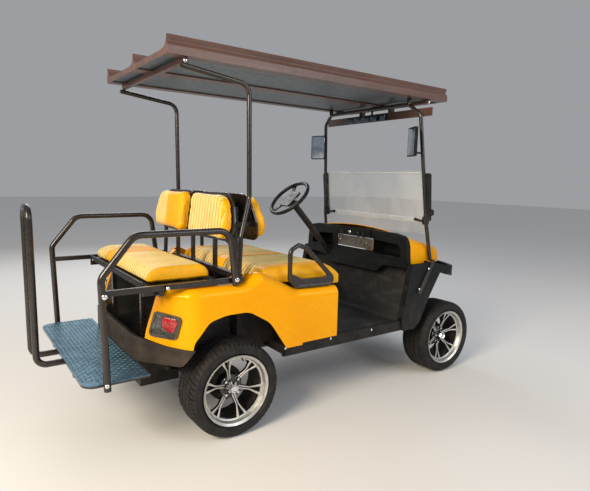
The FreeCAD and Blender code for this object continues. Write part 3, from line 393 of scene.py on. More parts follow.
def vinyl_surface(name, zones, seams=(), boxing=False):
    """Cream and golden vinyl with leather grain, laid out across the cart, in y.

    Zones are the golden stretches, as (low, high), with None for no limit. Golden painted shade lies in the
    grooves between the cream ribs, and a darker stitched line runs along each of the seams given.
    """
    skin = Surface(name, 0.42, specular=0.3)
    soft = skin.noise(6.0, 4.0)
    cream = skin.ramp(soft, (0.3, (0.78, 0.58, 0.2)), (0.75, (0.88, 0.7, 0.3)))
    golden = skin.ramp(soft, (0.3, (0.9, 0.41, 0.001)), (0.75, (0.97, 0.5, 0.003)))
    inside = None
    for low, high in zones:
        share = None
        for start, inwards in ((low, zone_edge), (high, -zone_edge)):
            if start is not None:
                part = skin.span(skin.along("Y"), start, start + inwards)
                share = part if share is None else skin.times(share, part)
        inside = share if inside is None else skin.maths("MAXIMUM", inside, share)
    # Painted shade: golden-brown lines along the grooves between the ribs, where their shadow falls.
    wave = skin.maths("SINE", skin.times(skin.along("Y"), math.pi / rib_pitch), 0.0)
    wide, narrow, painted_rib_shade = (0.5, 0.2, (0.42, 0.19, 0.012)) if boxing else (0.6, 0.26, (0.4, 0.19, 0.02))
    rib_shade_share = skin.span(skin.maths("ABSOLUTE", wave, 0.0), wide, narrow)
    base = skin.stain(cream, rib_shade_share, 0.95, painted_rib_shade)
    if inside is not None:
        base = skin.mix(inside, base, golden)
    if boxing:
        # The boxing is golden where the pad's side faces outwards on the cart's right.
        facing = skin.add("SeparateXYZ", vector=skin.add("TexCoord").outputs["Normal"]).outputs["Y"]
        share = skin.times(skin.span(facing, -0.5, -0.56), skin.span(skin.along("Y"), -0.38, -0.39))
        base = skin.mix(share, base, golden)
    for seam in seams:
        away = skin.maths("ABSOLUTE", skin.maths("SUBTRACT", skin.along("Y"), seam), 0.0)
        base = skin.stain(base, skin.span(away, seam_reach, 0.0015), 0.8, (0.3, 0.12, 0.006))
    grime = skin.times(skin.spots(16.0, 8.0, 0.5, 0.85), 0.28)
    skin.colour(skin.mix(grime, base, (0.3, 0.2, 0.11)))
    skin.rough(skin.varied(40.0, 5.0, (0.3, 0.34), (0.8, 0.56)))
    skin.bump(skin.cells(520.0), 0.0003)
    return skin.material


def make_materials():
    black = (0.003, 0.004, 0.0048)
    soft_black = (0.0075, 0.0095, 0.011)
    return {
        "tyre": tyre_surface(),
        "wheel_metal": metal_surface("machined_alloy", (0.58, 0.57, 0.54), (0.72, 0.71, 0.68), 0.42),
        "body_paint": paint_surface(),
        "seat_vinyl": vinyl_surface("cream_vinyl", []),
        "black_plastic": plastic_surface("grained_black", black, soft_black, 0.46, 480.0, 0.3),
        "roof_trim": roof_trim_surface(),
        "roof_skin": roof_skin_surface(),
        "lamp_lens": gloss_surface("lamp_bezel", (0.02, 0.018, 0.012), (0.045, 0.04, 0.03), 0.28),
        "chequer_plate": plate_surface(),
        "black_tube": tube_surface(),
        "grip": plastic_surface("grip_black", black, (0.028, 0.028, 0.03), 0.34, 700.0),
        "chassis_paint": chassis_surface(),
        "clear_screen": screen_surface(),
        "pocket_black": gloss_surface("spoke_pocket_black", (0.008, 0.008, 0.009), (0.02, 0.02, 0.022), 0.22),
        "bumper_scuffed": plastic_surface("bumper_scuffed", (0.014, 0.012, 0.011), (0.05, 0.042, 0.036),
                                          0.5, 420.0, 0.6),
        "speckled": plastic_surface("speckled_floor", (0.006, 0.0065, 0.007), (0.044, 0.046, 0.048),
                                    0.66, 300.0, 0.12),
        "chrome": metal_surface("chrome", (0.75, 0.75, 0.76), (0.92, 0.92, 0.93), 0.1, 200.0),
        "red_lens": lens_surface("red_lens", (0.16, 0.001, 0.002), (0.62, 0.008, 0.012)),
        "smoke_lens": lens_surface("smoke_lens", (0.04, 0.042, 0.045), (0.09, 0.095, 0.1)),
        "white_lens": lens_surface("white_lens", (0.5, 0.52, 0.54), (0.78, 0.8, 0.82)),
        "mirror_glass": metal_surface("mirror_glass", (0.34, 0.4, 0.46), (0.5, 0.56, 0.62), 0.06, 60.0),
        "dark_mirror": metal_surface("dark_mirror", (0.07, 0.085, 0.1), (0.13, 0.15, 0.18), 0.08, 60.0),
        "fold_clear": fold_surface(),
        # Painted highlight: the pale finish of the rods on the screen's edges stands in for the light in
        # them.
        "painted_edge_highlight": gloss_surface("painted_screen_edge_highlight", (0.6, 0.64, 0.66), (0.8, 0.83, 0.85), 0.2),
        "dash_plate": gloss_surface("bare_plate", (0.03, 0.027, 0.022), (0.13, 0.115, 0.09), 0.34, 0.2),
    }


# Meshes

upwards = Vector((0, 0, 1))


class Builder:
    """Gathers points and faces of one piece that is made of several forms."""

    def __init__(self):
        self.points = []
        self.faces = []
        self.marks = []

    def loft(self, rings, mark=0, closed=True, caps=True, marks=None, row_marks=None):
        """Skin over rings of equal length; marks gives the material of each strip along the rings.

        Instead, row_marks gives that of each band from one ring to the next.
        """
        base = len(self.points)
        count = len(rings[0])
        for ring in rings:
            self.points.extend(ring)
        last = count if closed else count - 1
        for row in range(len(rings) - 1):
            for turn in range(last):
                nxt = (turn + 1) % count
                near, far = base + row * count, base + (row + 1) * count
                self.faces.append((near + turn, near + nxt, far + nxt, far + turn))
                self.marks.append(marks[turn] if marks else row_marks[row] if row_marks else mark)
        if caps:
            self.faces.append(tuple(base + turn for turn in reversed(range(count))))
            self.faces.append(tuple(base + (len(rings) - 1) * count + turn for turn in range(count)))
            self.marks.extend([mark, mark])

    def lathe(self, rows, place, axis, turns, mark=0, marks=None):
        """Outline of (along, radius) rows, turned about an axis through the place; marks go by band."""
        axis = Vector(axis).normalized()
        side = axis.orthogonal().normalized()
        other = axis.cross(side)
        rings = []
        for along, radius in rows:
            ring = []
            for turn in range(turns):
                angle = 2 * math.pi * turn / turns
                out = side * math.cos(angle) + other * math.sin(angle)
                ring.append(place + axis * along + out * radius)
            rings.append(ring)
        self.loft(rings, mark, caps=False, row_marks=marks)

    def dome(self, place, direction, radius, height, mark=0, turns=16):
        """Round cap with a soft edge, standing on the place."""
        rows = [(-radius * 0.3, radius), (height * 0.35, radius), (height * 0.75, radius * 0.8),
                (height * 0.95, radius * 0.45), (height, radius * 0.05)]
        self.lathe(rows, place, direction, turns, mark)

    def nut(self, place, direction, radius, height, mark=0):
        """Six-sided nut with a chamfered top over a thin washer."""
        washer = [(-0.002, radius * 1.3), (0.001, radius * 1.3), (0.0016, radius * 1.2)]
        self.lathe(washer, place, direction, 18, mark)
        rows = [(0.0, radius), (height * 0.75, radius), (height, radius * 0.78), (height, radius * 0.05)]
        self.lathe(rows, place, direction, 6, mark)

    def plate(self, outline, origin, across, up, depth, round_edge, mark=0):
        """Thin plate over an outline of (across, up) pairs, with the edge of its front rounded over."""
        across, up = Vector(across).normalized(), Vector(up).normalized()
        front = across.cross(up)
        centre_a = sum(a for a, _ in outline) / len(outline)
        centre_u = sum(u for _, u in outline) / len(outline)
        rings = []
        for lift, inset in ((0.0, 0.0), (depth - round_edge, 0.0),
                            (depth - round_edge * 0.3, round_edge * 0.35), (depth, round_edge)):
            ring = []
            for a, u in outline:
                da, du = centre_a - a, centre_u - u
                length = math.hypot(da, du)
                a, u = a + da / length * inset, u + du / length * inset
                ring.append(origin + across * a + up * u + front * lift)
            rings.append(ring)
        self.loft(rings, mark)

    def box(self, centre, extent, turn=None, bevel=0.002, mark=0):
        """Box with bevelled long edges, about its centre, turned by a matrix."""
        hx, hy, hz = (value / 2 for value in extent)
        b = min(bevel, hx * 0.8, hy * 0.8, hz * 0.8)
        section = [(-hx + b, -hy), (hx - b, -hy), (hx, -hy + b), (hx, hy - b), (hx - b, hy), (-hx + b, hy),
                   (-hx, hy - b), (-hx, -hy + b)]
        rings = []
        for z, shrink in ((-hz, b), (-hz + b, 0.0), (hz - b, 0.0), (hz, b)):
            ring = []
            for x, y in section:
                point = Vector((x * (1 - shrink / hx), y * (1 - shrink / hy), z))
                ring.append(centre + (turn @ point if turn else point))
            rings.append(ring)
        self.loft(rings, mark)

    def rod(self, start, end, radius, turns=10):
        ahead = (end - start).normalized()
        side = ahead.cross(upwards).normalized()
        other = ahead.cross(side)
        angles = [2 * math.pi * turn / turns for turn in range(turns)]
        self.loft([[place + (side * math.cos(angle) + other * math.sin(angle)) * radius for angle in angles]
                   for place in (start, end)])

    def finish(self, name, materials, body, crease=35.0):
        """The piece, which shades smoothly up to the crease's angle."""
        mesh = bpy.data.meshes.new(name)
        mesh.from_pydata(self.points, [], self.faces)
        for material in materials:
            mesh.materials.append(material)
        mesh.polygons.foreach_set("material_index", self.marks)
        mesh.shade_smooth()
        mesh.set_sharp_from_angle(angle=math.radians(crease))
        piece = linked(name, mesh)
        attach(piece, body)
        return piece


def smooth_outline(rows, steps=5):
    """Outline through (across, up, corner radius) rows with its corners rounded."""
    result = []
    count = len(rows)
    for index, (a, u, radius) in enumerate(rows):
        here = Vector((a, u))
        before = Vector(rows[index - 1][:2]) - here
        after = Vector(rows[(index + 1) % count][:2]) - here
        reach = min(radius, before.length * 0.45, after.length * 0.45)
        if reach <= 0:
            result.append((a, u))
            continue
        start, end = here + before.normalized() * reach, here + after.normalized() * reach
        for step in range(steps + 1):
            t = step / steps
            point = start * (1 - t) ** 2 + here * 2 * t * (1 - t) + end * t ** 2
            result.append((point.x, point.y))
    return result


def rounded_rectangle(half_wide, half_high, radius):
    corners = ((-1, -1), (1, -1), (1, 1), (-1, 1))
    return smooth_outline([(a * half_wide, u * half_high, radius) for a, u in corners])


# Wheels

# The cross grooves lean back towards the shoulders, by a share of a pitch, and more on the inner side.
tread_lean = 0.9
inner_lean = 1.35
tread_radius = 0.243
tread_pitches = 60
# Part of a pitch at which each column of the tread stands, and whether the column lies in a cross groove.
tread_columns = ((0.0, 0), (0.68, 0), (0.72, 1), (0.96, 1))
# Tyre outline from bead to middle: distance from the middle, radius, and how deep a cross groove is there.
tyre_rows = ((0.083, 0.1786, 0), (0.083, 0.1925, 0), (0.0972, 0.1996, 0), (0.1003, 0.203, 0),
             (0.0995, 0.2062, 0), (0.1021, 0.2095, 0), (0.1025, 0.216, 0), (0.1019, 0.2218, 0),
             (0.1003, 0.2262, 0), (0.1016, 0.2275, 0), (0.1004, 0.2322, 0), (0.0985, 0.2365, 0.0012),
             (0.0955, 0.2405, 0.0035), (0.0915, 0.2442, 0.005), (0.0862, 0.2478, 0.0055),
             (0.0795, 0.2505, 0.0055), (0.07, 0.2522, 0.0055), (0.0648, 0.2526, 0.0055),
             (0.0636, 0.2466, 0), (0.0566, 0.2466, 0), (0.0554, 0.2528, 0.0028), (0.039, 0.253, 0.0028),
             (0.0226, 0.253, 0.0028), (0.0214, 0.2468, 0), (0.0134, 0.2468, 0), (0.0122, 0.253, 0.0018),
             (0.004, 0.253, 0.0018))


def make_tyre(name, materials):
    """Tyre turned from its outline, with four round grooves and leaning cross grooves."""
    centre = middle(name)
    side = 1 if centre.y > 0 else -1
    rows = [*tyre_rows, *((-across, radius, cut) for across, radius, cut in reversed(tyre_rows))]
    pitch = 2 * math.pi / tread_pitches
    rings = []
    for across, radius, cut in rows:
        lean = tread_lean * pitch * abs(across) / tyre_half if cut or radius > tread_radius else 0.0
        ring = []
        for turn in range(tread_pitches):
            for share, grooved in tread_columns:
                angle = (turn + share) * pitch + lean * (1 if across > 0 else inner_lean)
                reach = radius - (cut if grooved else 0.0)
                place = Vector((reach * math.cos(angle), side * across, reach * math.sin(angle)))
                ring.append(centre + place)
        rings.append(ring)
    build = Builder()
    build.loft(rings, caps=False)
    wheel = name.replace("tyre", "wheel")
    piece = build.finish(name + "_tread", [materials["tyre"]], wheel, 28.0)
    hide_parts(name)


rim_half = 0.095
lip_depth = 0.033
hub_depth = 0.068
hub_face = rim_half - hub_depth
spoke_seat = 0.161
spoke_thick = 0.016
nut_circle = 0.051
spoke_count = 6
nut_count = 4
# Share of a spoke's length at which it forks, and how much further the web between its ridges reaches.
split_share = 0.48
web_reach = 0.014
# The spokes slope from the hub out to the lip, from their inner end to their tip.
spoke_slope = math.atan2(hub_depth - lip_depth, spoke_seat - nut_circle)
spoke_inner = nut_circle - 0.009
spoke_tip = spoke_inner + (spoke_seat + 0.003 - spoke_inner) / math.cos(spoke_slope)
# Angle at which each wheel's first spoke stands.
first_spoke = {"front_left": 32.0, "front_right": 76.0, "rear_left": 10.0, "rear_right": 46.0}
# Outlines of the barrel and the brake drum, as (outwards from the rim's middle, radius).
barrel_rows = ((-0.095, 0.173), (-0.095, 0.1885), (-0.0905, 0.1888), (-0.083, 0.1778), (0.083, 0.1778),
               (0.0905, 0.1888), (0.0935, 0.1889), (0.0948, 0.188), (0.095, 0.1866), (0.0944, 0.1852),
               (0.0905, 0.1822), (0.088, 0.1775), (0.0868, 0.1758), (0.066, 0.1692), (0.064, 0.167),
               (0.0632, 0.164), (0.062, 0.1612), (0.046, 0.1612), (0.038, 0.173), (-0.095, 0.173))
drum_rows = ((-0.081, 0.087), (-0.081, 0.095), (-0.036, 0.095), (-0.034, 0.093), (-0.031, 0.092),
             (-0.019, 0.07), (-0.019, 0.04), (-0.031, 0.04), (-0.039, 0.087), (-0.081, 0.087))
# Outlines of the hub and its cap, as (outwards from the hub's face, radius).
hub_rows = ((-0.038, 0.02), (-0.038, 0.072), (-0.016, 0.066), (-0.007, 0.0632), (-0.006, 0.061),
            (-0.006, 0.041), (-0.001, 0.0395), (-0.001, 0.005))
cap_rows = ((-0.003, 0.0355), (0.012, 0.0345), (0.02, 0.032), (0.026, 0.029), (0.036, 0.0262),
            (0.041, 0.0225), (0.043, 0.017), (0.0425, 0.015), (0.039, 0.0135), (0.0405, 0.007),
            (0.0415, 0.0005))
# Places in a rim's list of materials, and those of the barrel's bands.
polished, pocket, steel, plated = range(4)
barrel_marks = [steel] * 4 + [polished] * 12 + [pocket] + [steel] * 2


def spoke_rings(foot, side):
    """Rings of one ridge of a forked spoke, in its own (across, depth, outwards) metres."""
    split = (foot + spoke_tip) * split_share
    steps = 14
    rings = []
    for step in range(steps + 1):
        out = foot + (spoke_tip - foot) * step / steps
        flare = max(0.0, (out - split) / (spoke_tip - split))
        ease = flare * flare * (3 - 2 * flare) * 0.35 + flare * 0.65
        near = 0.0025 + 0.0135 * ease
        far = (0.010 - 0.001 * min(1.0, (out - foot) / (split - foot))) + 0.022 * ease
        floor = -0.006 if out < split + web_reach else -spoke_thick
        ring = [(near, floor), (near, -0.0014), (near + 0.0014, 0.0), (far - 0.0014, 0.0), (far, -0.0014),
                (far + 0.0016, -spoke_thick)]
        ring = [(side * across, depth, out) for across, depth in ring]
        rings.append(ring if side > 0 else ring[::-1])
    return rings


def wheel_way(degrees):
    """Direction at an angle in the wheels' plane."""
    turn = math.radians(degrees)
    return Vector((math.cos(turn), 0, math.sin(turn)))


def add_spoke(build, foot, centre, outwards, out):
    """Two ridges and the web between them, along the out direction from the wheel's centre."""
    across = out.cross(Vector((0, 1, 0)))
    cosine, sine = math.cos(spoke_slope), math.sin(spoke_slope)

    def placed(rings):
        result = []
        for ring in rings:
            points = []
            for a, depth, u in ring:
                lift = depth * cosine + (u - spoke_inner) * sine
                reach = spoke_inner + (u - spoke_inner) * cosine - depth * sine
                points.append(centre + outwards * (hub_face + lift) + out * reach + across * a)
            result.append(points)
        return result

    for hand in (1, -1):
        build.loft(placed(spoke_rings(foot, hand)), pocket,
                   marks=[pocket, polished, polished, polished, pocket, pocket])
    split = (foot + spoke_tip) * split_share + web_reach
    sides = ((-0.004, -0.006), (0.004, -0.006), (0.006, -spoke_thick), (-0.006, -spoke_thick))
    build.loft(placed([[(a, depth, u) for a, depth in sides] for u in (foot, split - 0.008, split)]), pocket)


def make_rim(name, materials):
    """Deep-lipped rim with forked spokes, hub, nuts, cap and valve, over its brake drum."""
    where = name.removeprefix("rim_")
    centre = middle("tyre_" + where)
    outwards = Vector((0, 1 if centre.y > 0 else -1, 0))
    build = Builder()
    build.lathe(barrel_rows, centre, outwards, 96, marks=barrel_marks)
    build.lathe(hub_rows, centre + outwards * hub_face, outwards, 72, pocket)
    build.lathe(drum_rows, centre, outwards, 64, steel)
    build.lathe(cap_rows, centre + outwards * hub_face, outwards, 8, plated)
    for number in range(spoke_count):
        foot = nut_circle + 0.011 if number % 3 == 0 else spoke_inner
        out = wheel_way(first_spoke[where] + number * 360.0 / spoke_count)
        add_spoke(build, foot, centre, outwards, out)
    for number in range(nut_count):
        out = wheel_way(first_spoke[where] + number * 360.0 / nut_count)
        build.nut(centre + outwards * (hub_face - 0.006) + out * nut_circle, outwards, 0.0088, 0.019, plated)
    out = wheel_way(first_spoke[where] + 30.0)
    build.dome(centre + outwards * 0.066 + out * 0.166, outwards - out * 0.5, 0.0042, 0.026, pocket, 10)
    finishes = [materials[key] for key in ("wheel_metal", "pocket_black", "chassis_paint", "chrome")]
    piece = build.finish("wheel_face_" + where, finishes, "wheel_" + where, 30.0)
    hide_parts(name)


# Upholstery

def applied(piece):
    """Gives the piece the mesh that its modifiers make, and takes them off."""
    graph = bpy.context.evaluated_depsgraph_get()
    graph.update()
    mesh = bpy.data.meshes.new_from_object(piece.evaluated_get(graph))
    piece.modifiers.clear()
    piece.data = mesh
    return mesh


def vectors(rows, field):
    values = np.empty(len(rows) * 3)
    rows.foreach_get(field, values)
    return values.reshape(-1, 3)


# How far a pad is drawn in before it swells, how far it may swell, and the frames that this takes.
pad_inset = 0.0035
pad_cap = 0.009
cloth_frames = 20
# Dome of a seat's top, and how steeply its upper edges are rounded.
pad_crown = 0.004
edge_bend = 0.86
crease_depth = 0.0012
# Seams and golden bands, across the cart.
bench_side = 0.41
bench_middle = 0.057
deck_side = 0.43
deck_band = (0.112, 0.288)
rear_back_band = 0.281
front_back_left = 0.208
front_back_right = 0.204
back_rib_start = 0.084
back_rib_end = 0.466


def remeshed(piece, voxel, form):
    """Even quads over the piece in its soft form, drawn in so that the pad can swell to its real size."""
    modifier = piece.modifiers.new("remesh", "REMESH")
    modifier.mode = "VOXEL"
    modifier.voxel_size = voxel
    mesh = applied(piece)
    points = vectors(mesh.vertices, "co") - vectors(mesh.vertex_normals, "vector") * pad_inset
    origin = np.array(at(0, 0, 0))
    points = form(points - origin) + origin
    mesh.vertices.foreach_set("co", points.ravel())
    mesh.update()
    return points


def add_cloth(piece):
    cloth = piece.modifiers.new("cloth", "CLOTH")
    cloth.settings.quality = 3
    cloth.settings.use_pressure = True
    cloth.settings.uniform_pressure_force = 4.0
    cloth.settings.effector_weights.gravity = 0.0
    cloth.point_cache.frame_start = 1
    cloth.point_cache.frame_end = cloth_frames


def capped(points, start):
    move = points - start
    length = np.linalg.norm(move, axis=1, keepdims=True)
    return start + move * np.minimum(1.0, pad_cap / np.maximum(length, 1e-9))


def soft_step(value, low, high):
    share = np.clip((value - low) / (high - low), 0.0, 1.0)
    return share * share * (3 - 2 * share)


def between(value, low, high, soft=0.004):
    """1 from low to high, falling to 0 over a soft edge on both sides."""
    return soft_step(value, low - soft, low + soft) * (1 - soft_step(value, high - soft, high + soft))


def rounded(local, lift, rear, front, sides):
    """Rounds a seat's upper edges over the given reaches, from the lift above its foot, and domes its top."""
    low, high = local.min(0), local.max(0)
    base = low[2] + lift
    x, y, z = local.T
    share = np.ones(len(local))
    for value, edge, reach in ((x, low[0], rear), (-x, -high[0], front),
                               (y, low[1], sides), (-y, -high[1], sides)):
        t = np.clip(1 - (value - edge) / reach, 0.0, 1.0)
        share = share * np.sqrt(1 - (edge_bend * t) ** 2)
    dome = np.sin(math.pi * np.clip((x - low[0]) / (high[0] - low[0]), 0, 1)) * pad_crown
    result = local.copy()
    result[:, 2] = (base + (z - base) * np.where(z > base, share, 1.0)
                    + dome * np.clip((z - base) / (high[2] - base), 0, 1))
    return result


def bench_form(local):
    return rounded(local, 0.05, 0.05, 0.06, 0.03)


def deck_form(local):
    return rounded(local, 0.0, 0.085, 0.045, 0.012)


def back_form(local):
    """The back pads keep the solids' own rounded form."""
    return local


def bench_ribs(local, normals):
    """Ribs on the front seat's top and over its front edge, between plain bands."""
    front = soft_step(normals[:, 0], 0.6, 0.9) * soft_step(local[:, 2], 0.77, 0.79)
    return (between(np.abs(local[:, 1]), bench_middle, bench_side, 0.005)
            * np.maximum(soft_step(normals[:, 2], 0.25, 0.6), front))


def deck_ribs(local, normals):
    """Ribs on the flip seat's top and over its rear edge, apart from its golden band."""
    y = local[:, 1]
    return (between(y, -deck_side, deck_side, 0.005) * (1 - between(y, *deck_band))
            * np.maximum(soft_step(normals[:, 2], 0.25, 0.6), soft_step(-normals[:, 0], 0.6, 0.9)))


def rear_back_ribs(local, normals):
    """Ribs on the faces: nearly all over the right pad, on the outer part of the left one."""
    y = local[:, 1]
    across = between(-y, back_rib_start, back_rib_end) + between(y, rear_back_band, back_rib_end)
    return across * soft_step(-normals[:, 0], 0.35, 0.7)


def front_back_ribs(local, normals):
    """Ribs on the outer parts of both faces."""
    y = local[:, 1]
    across = between(-y, front_back_right, back_rib_end) + between(y, front_back_left, back_rib_end)
    return across * soft_step(normals[:, 0], 0.35, 0.7)


def finish_pad(piece, start, ribs, seams, body, material):
    """Takes the swollen form, sews in its ribs and seams, and adds slight creases."""
    mesh = applied(piece)
    mesh.vertices.foreach_set("co", capped(vectors(mesh.vertices, "co"), start).ravel())
    smooth = piece.modifiers.new("finer", "SUBSURF")
    smooth.levels = 1
    mesh = applied(piece)
    mesh.update()
    points, normals = vectors(mesh.vertices, "co"), vectors(mesh.vertex_normals, "vector")
    local = points - np.array(at(0, 0, 0))
    y = local[:, 1]
    # Drawn in along each seam between ribs, and full on each rib.
    depth = rib_depth * (1 - np.abs(np.sin(math.pi * y / rib_pitch)) ** 0.6) * ribs(local, normals)
    for seam in seams:
        depth = depth + seam_depth * np.exp(-((y - seam) / seam_reach) ** 2)
    crease = np.array([noise.noise(Vector(point) * 11.0) + 0.5 * noise.noise(Vector(point) * 27.0)
                       for point in points])
    points = points - normals * (depth + crease_depth * crease)[:, None]
    mesh.vertices.foreach_set("co", points.ravel())
    mesh.update()
    mesh.materials.append(material)
    mesh.shade_smooth()
    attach(piece, body)


def make_upholstery():
    """The four padded pieces, their cloth simulated together."""
    # Node, voxel, form, ribs, body, seams, golden zones.
    pads = (
        ("front_cushion", 0.009, bench_form, bench_ribs, "bench_lid",
         (bench_side, bench_middle, -bench_side, -bench_middle),
         ((bench_side, None), (None, -bench_side), (-bench_middle, bench_middle))),
        ("rear_cushion", 0.007, deck_form, deck_ribs, "flip_deck",
         (deck_side, -deck_side, *reversed(deck_band)), (deck_band, (None, -deck_side))),
        ("rear_backrests", 0.007, back_form, rear_back_ribs, "chassis",
         (rear_back_band,), ((0.0, rear_back_band),)),
        ("front_backrests", 0.007, back_form, front_back_ribs, "chassis",
         (front_back_left, -front_back_right), ((0.0, front_back_left), (-front_back_right, 0.0))))
    made = []
    for node, voxel, form, *_ in pads:
        mesh = nodes[node].data.copy()
        mesh.materials.clear()
        piece = linked(node + "_upholstery", mesh)
        start = remeshed(piece, voxel, form)
        add_cloth(piece)
        made.append((piece, start))
    for number in range(1, cloth_frames + 1):
        bpy.context.scene.frame_set(number)
    for (piece, start), (node, _, _, ribs, body, seams, zones) in zip(made, pads):
        material = vinyl_surface(node + "_vinyl", zones, seams, node.endswith("backrests"))
        finish_pad(piece, start, ribs, seams, body, material)
        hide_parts(node)
    bpy.context.scene.frame_set(1)


# Small fittings

# The body's slanted rear corner runs from the fender's end to here.
tail_x = -0.442
tail_half = 0.345
fender_x = -0.235
# Lens, depth, and outline as (from the fender's corner towards the tail, height).
tail_lenses = (
    ("red_lens", 0.01, ((0.163, 0.668), (0.088, 0.662), (0.082, 0.635), (0.107, 0.589), (0.14, 0.5965),
                         (0.168, 0.622))),
    ("smoke_lens", 0.0085, ((0.192, 0.671), (0.165, 0.668), (0.17, 0.6215), (0.169, 0.612), (0.23, 0.598))),
    ("lamp_lens", 0.007, ((0.228, 0.595), (0.168, 0.608), (0.144, 0.5925), (0.11, 0.5862), (0.122, 0.573),
                          (0.222, 0.581))))


def make_tail_lamps(materials):
    """Red, smoked and dark lenses in each tail lamp's window, on the body's slanted corner."""
    for side, name in ((-1, "right"), (1, "left")):
        corner = at(fender_x, side * body_half, 0)
        run = Vector((tail_x - fender_x, side * (tail_half - body_half), 0)).normalized()
        build = Builder()
        for mark, (_, depth, outline) in enumerate(tail_lenses):
            rows = [(a * side, z) for a, z in smooth_outline([(a, z, 0.008) for a, z in outline], 4)]
            build.plate(rows, corner, run * side, upwards, depth, 0.003, mark)
        build.finish("tail_lens_" + name, [materials[row[0]] for row in tail_lenses], "chassis")


lozenge_pitch = 0.020
lozenge_long = 0.0105
lozenge_wide = 0.0032
lozenge_rise = 0.0024
plate_corner = 0.06


def make_foot_pattern(materials):
    """Raised lozenges of the tread plate, crossing by turns, clear of its rounded rear corners."""
    low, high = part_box("foot_plate")
    build = Builder()
    for row in range(int((high[0] - low[0]) / lozenge_pitch)):
        for column in range(int((high[1] - low[1]) / lozenge_pitch)):
            x, y = low[0] + lozenge_pitch * (row + 0.6), low[1] + lozenge_pitch * (column + 0.6)
            if x < low[0] + plate_corner and abs(y) > high[1] - plate_corner:
                continue
            turn = math.radians(45 if (row + column) % 2 else -45)
            run = Vector((math.cos(turn), math.sin(turn), 0)) * lozenge_long
            wide = Vector((-math.sin(turn), math.cos(turn), 0)) * lozenge_wide
            centre = Vector((x, y, high[2]))
            base = [centre + run, centre + wide, centre - run, centre - wide]
            top = [centre + (point - centre) * 0.62 + upwards * lozenge_rise for point in base]
            build.loft([[point - upwards * 0.001 for point in base], top])
    build.finish("foot_plate_tread", [materials["chequer_plate"]], "chassis", 20.0)


# Caps on the rear rails' joints, as (x, y, z, radius), on the cowl's straps, as (x, z), and on the sills and
# the roof's beams, as x.
rail_caps = ((-0.636, 0.583, 0.822, 0.012), (-0.35, 0.567, 0.826, 0.009), (0.003, 0.583, 0.835, 0.012),
             (-0.638, 0.583, 0.422, 0.010))
strap_caps = ((1.448, 0.771), (1.364, 0.640))
sill_places = (0.30, 0.62, 0.95)
beam_places = (-0.2145, wheelbase - 0.1855)


def make_caps(materials):
    """Bolt heads and caps on the rails, the straps, the sills and the roof's beams."""
    build = Builder()
    for side in (1, -1):
        out = Vector((0, side, 0))
        for x, y, z, radius in rail_caps:
            build.dome(at(x, side * y, z), out, radius, radius * 0.55)
        for x, z in strap_caps:
            build.dome(at(x, side * (body_half + 0.010), z), out, 0.008, 0.006)
        for x in sill_places:
            build.dome(at(x, side * body_half, 0.425), out, 0.007, 0.0035)
        for x in beam_places:
            build.dome(at(x, side * (size("roof_beams").y / 2 - 0.062), 1.872), out, 0.010, 0.007)
    build.finish("bolt_caps", [materials["chrome"]], "chassis")


# Middle of a side mirror's glass, and the turns of the left and the right one.
side_mirror_x = wheelbase - 0.348
side_mirror_y = 0.492
side_mirror_z = 1.601
side_mirror_turns = ((1, 15.0), (-1, -30.0))
inside_mirror_x = wheelbase - 0.3125
inside_mirror_z = 1.7855
pane_count = 5
pane_pitch = 0.0815


def make_mirror_glass(materials):
    """Glass of the two side mirrors, turned to the driver, and the panes of the inside one."""
    build = Builder()
    for side, degrees in side_mirror_turns:
        turn = math.radians(degrees)
        back = Vector((-math.cos(turn), -math.sin(turn), 0))
        across = Vector((math.sin(turn), -math.cos(turn), 0))
        centre = at(side_mirror_x, side * side_mirror_y, side_mirror_z) + back * 0.0095
        build.plate(rounded_rectangle(0.063, 0.086, 0.014), centre, across, upwards, 0.0022, 0.0008)
    for pane in range(pane_count):
        off_middle = pane - pane_count // 2
        tilt = math.radians(off_middle * 5.0)
        across = Vector((math.sin(tilt), -math.cos(tilt), 0))
        centre = at(inside_mirror_x, off_middle * pane_pitch, inside_mirror_z)
        build.plate(rounded_rectangle(0.0395, 0.0185, 0.004), centre, across, upwards, 0.004, 0.001, 1)
    glass = [materials["mirror_glass"], materials["dark_mirror"]]
    build.finish("mirror_glass", glass, "chassis")


# Middle of the screen's rear face at its foot and head, and the shares of its height where it folds.
screen_foot = at(wheelbase - 0.1988, 0, 0.990)
screen_head = at(wheelbase - 0.2363, 0, 1.412)
screen_side = size("windshield").y / 2 - 0.002
fold_low = 0.195
fold_high = 0.255
# Clamps: share of the height, distance out from the screen's side and ahead, extent, bevel.
screen_clamps = ((0.6, 0.014, 0.004, (0.04, 0.042, 0.32), 0.008),
                 (0.86, 0.002, -0.004, (0.034, 0.034, 0.07), 0.005),
                 (0.23, 0.002, -0.004, (0.034, 0.038, 0.055), 0.005),
                 (0.36, 0.03, 0.016, (0.04, 0.034, 0.044), 0.008))


def screen_point(share, y, ahead=0.0):
    """Point on the screen's rear face, a share of the way from its foot to its head."""
    x = screen_foot.x + (screen_head.x - screen_foot.x) * share
    z = screen_foot.z + (screen_head.z - screen_foot.z) * share
    return Vector((x + ahead, y, z))


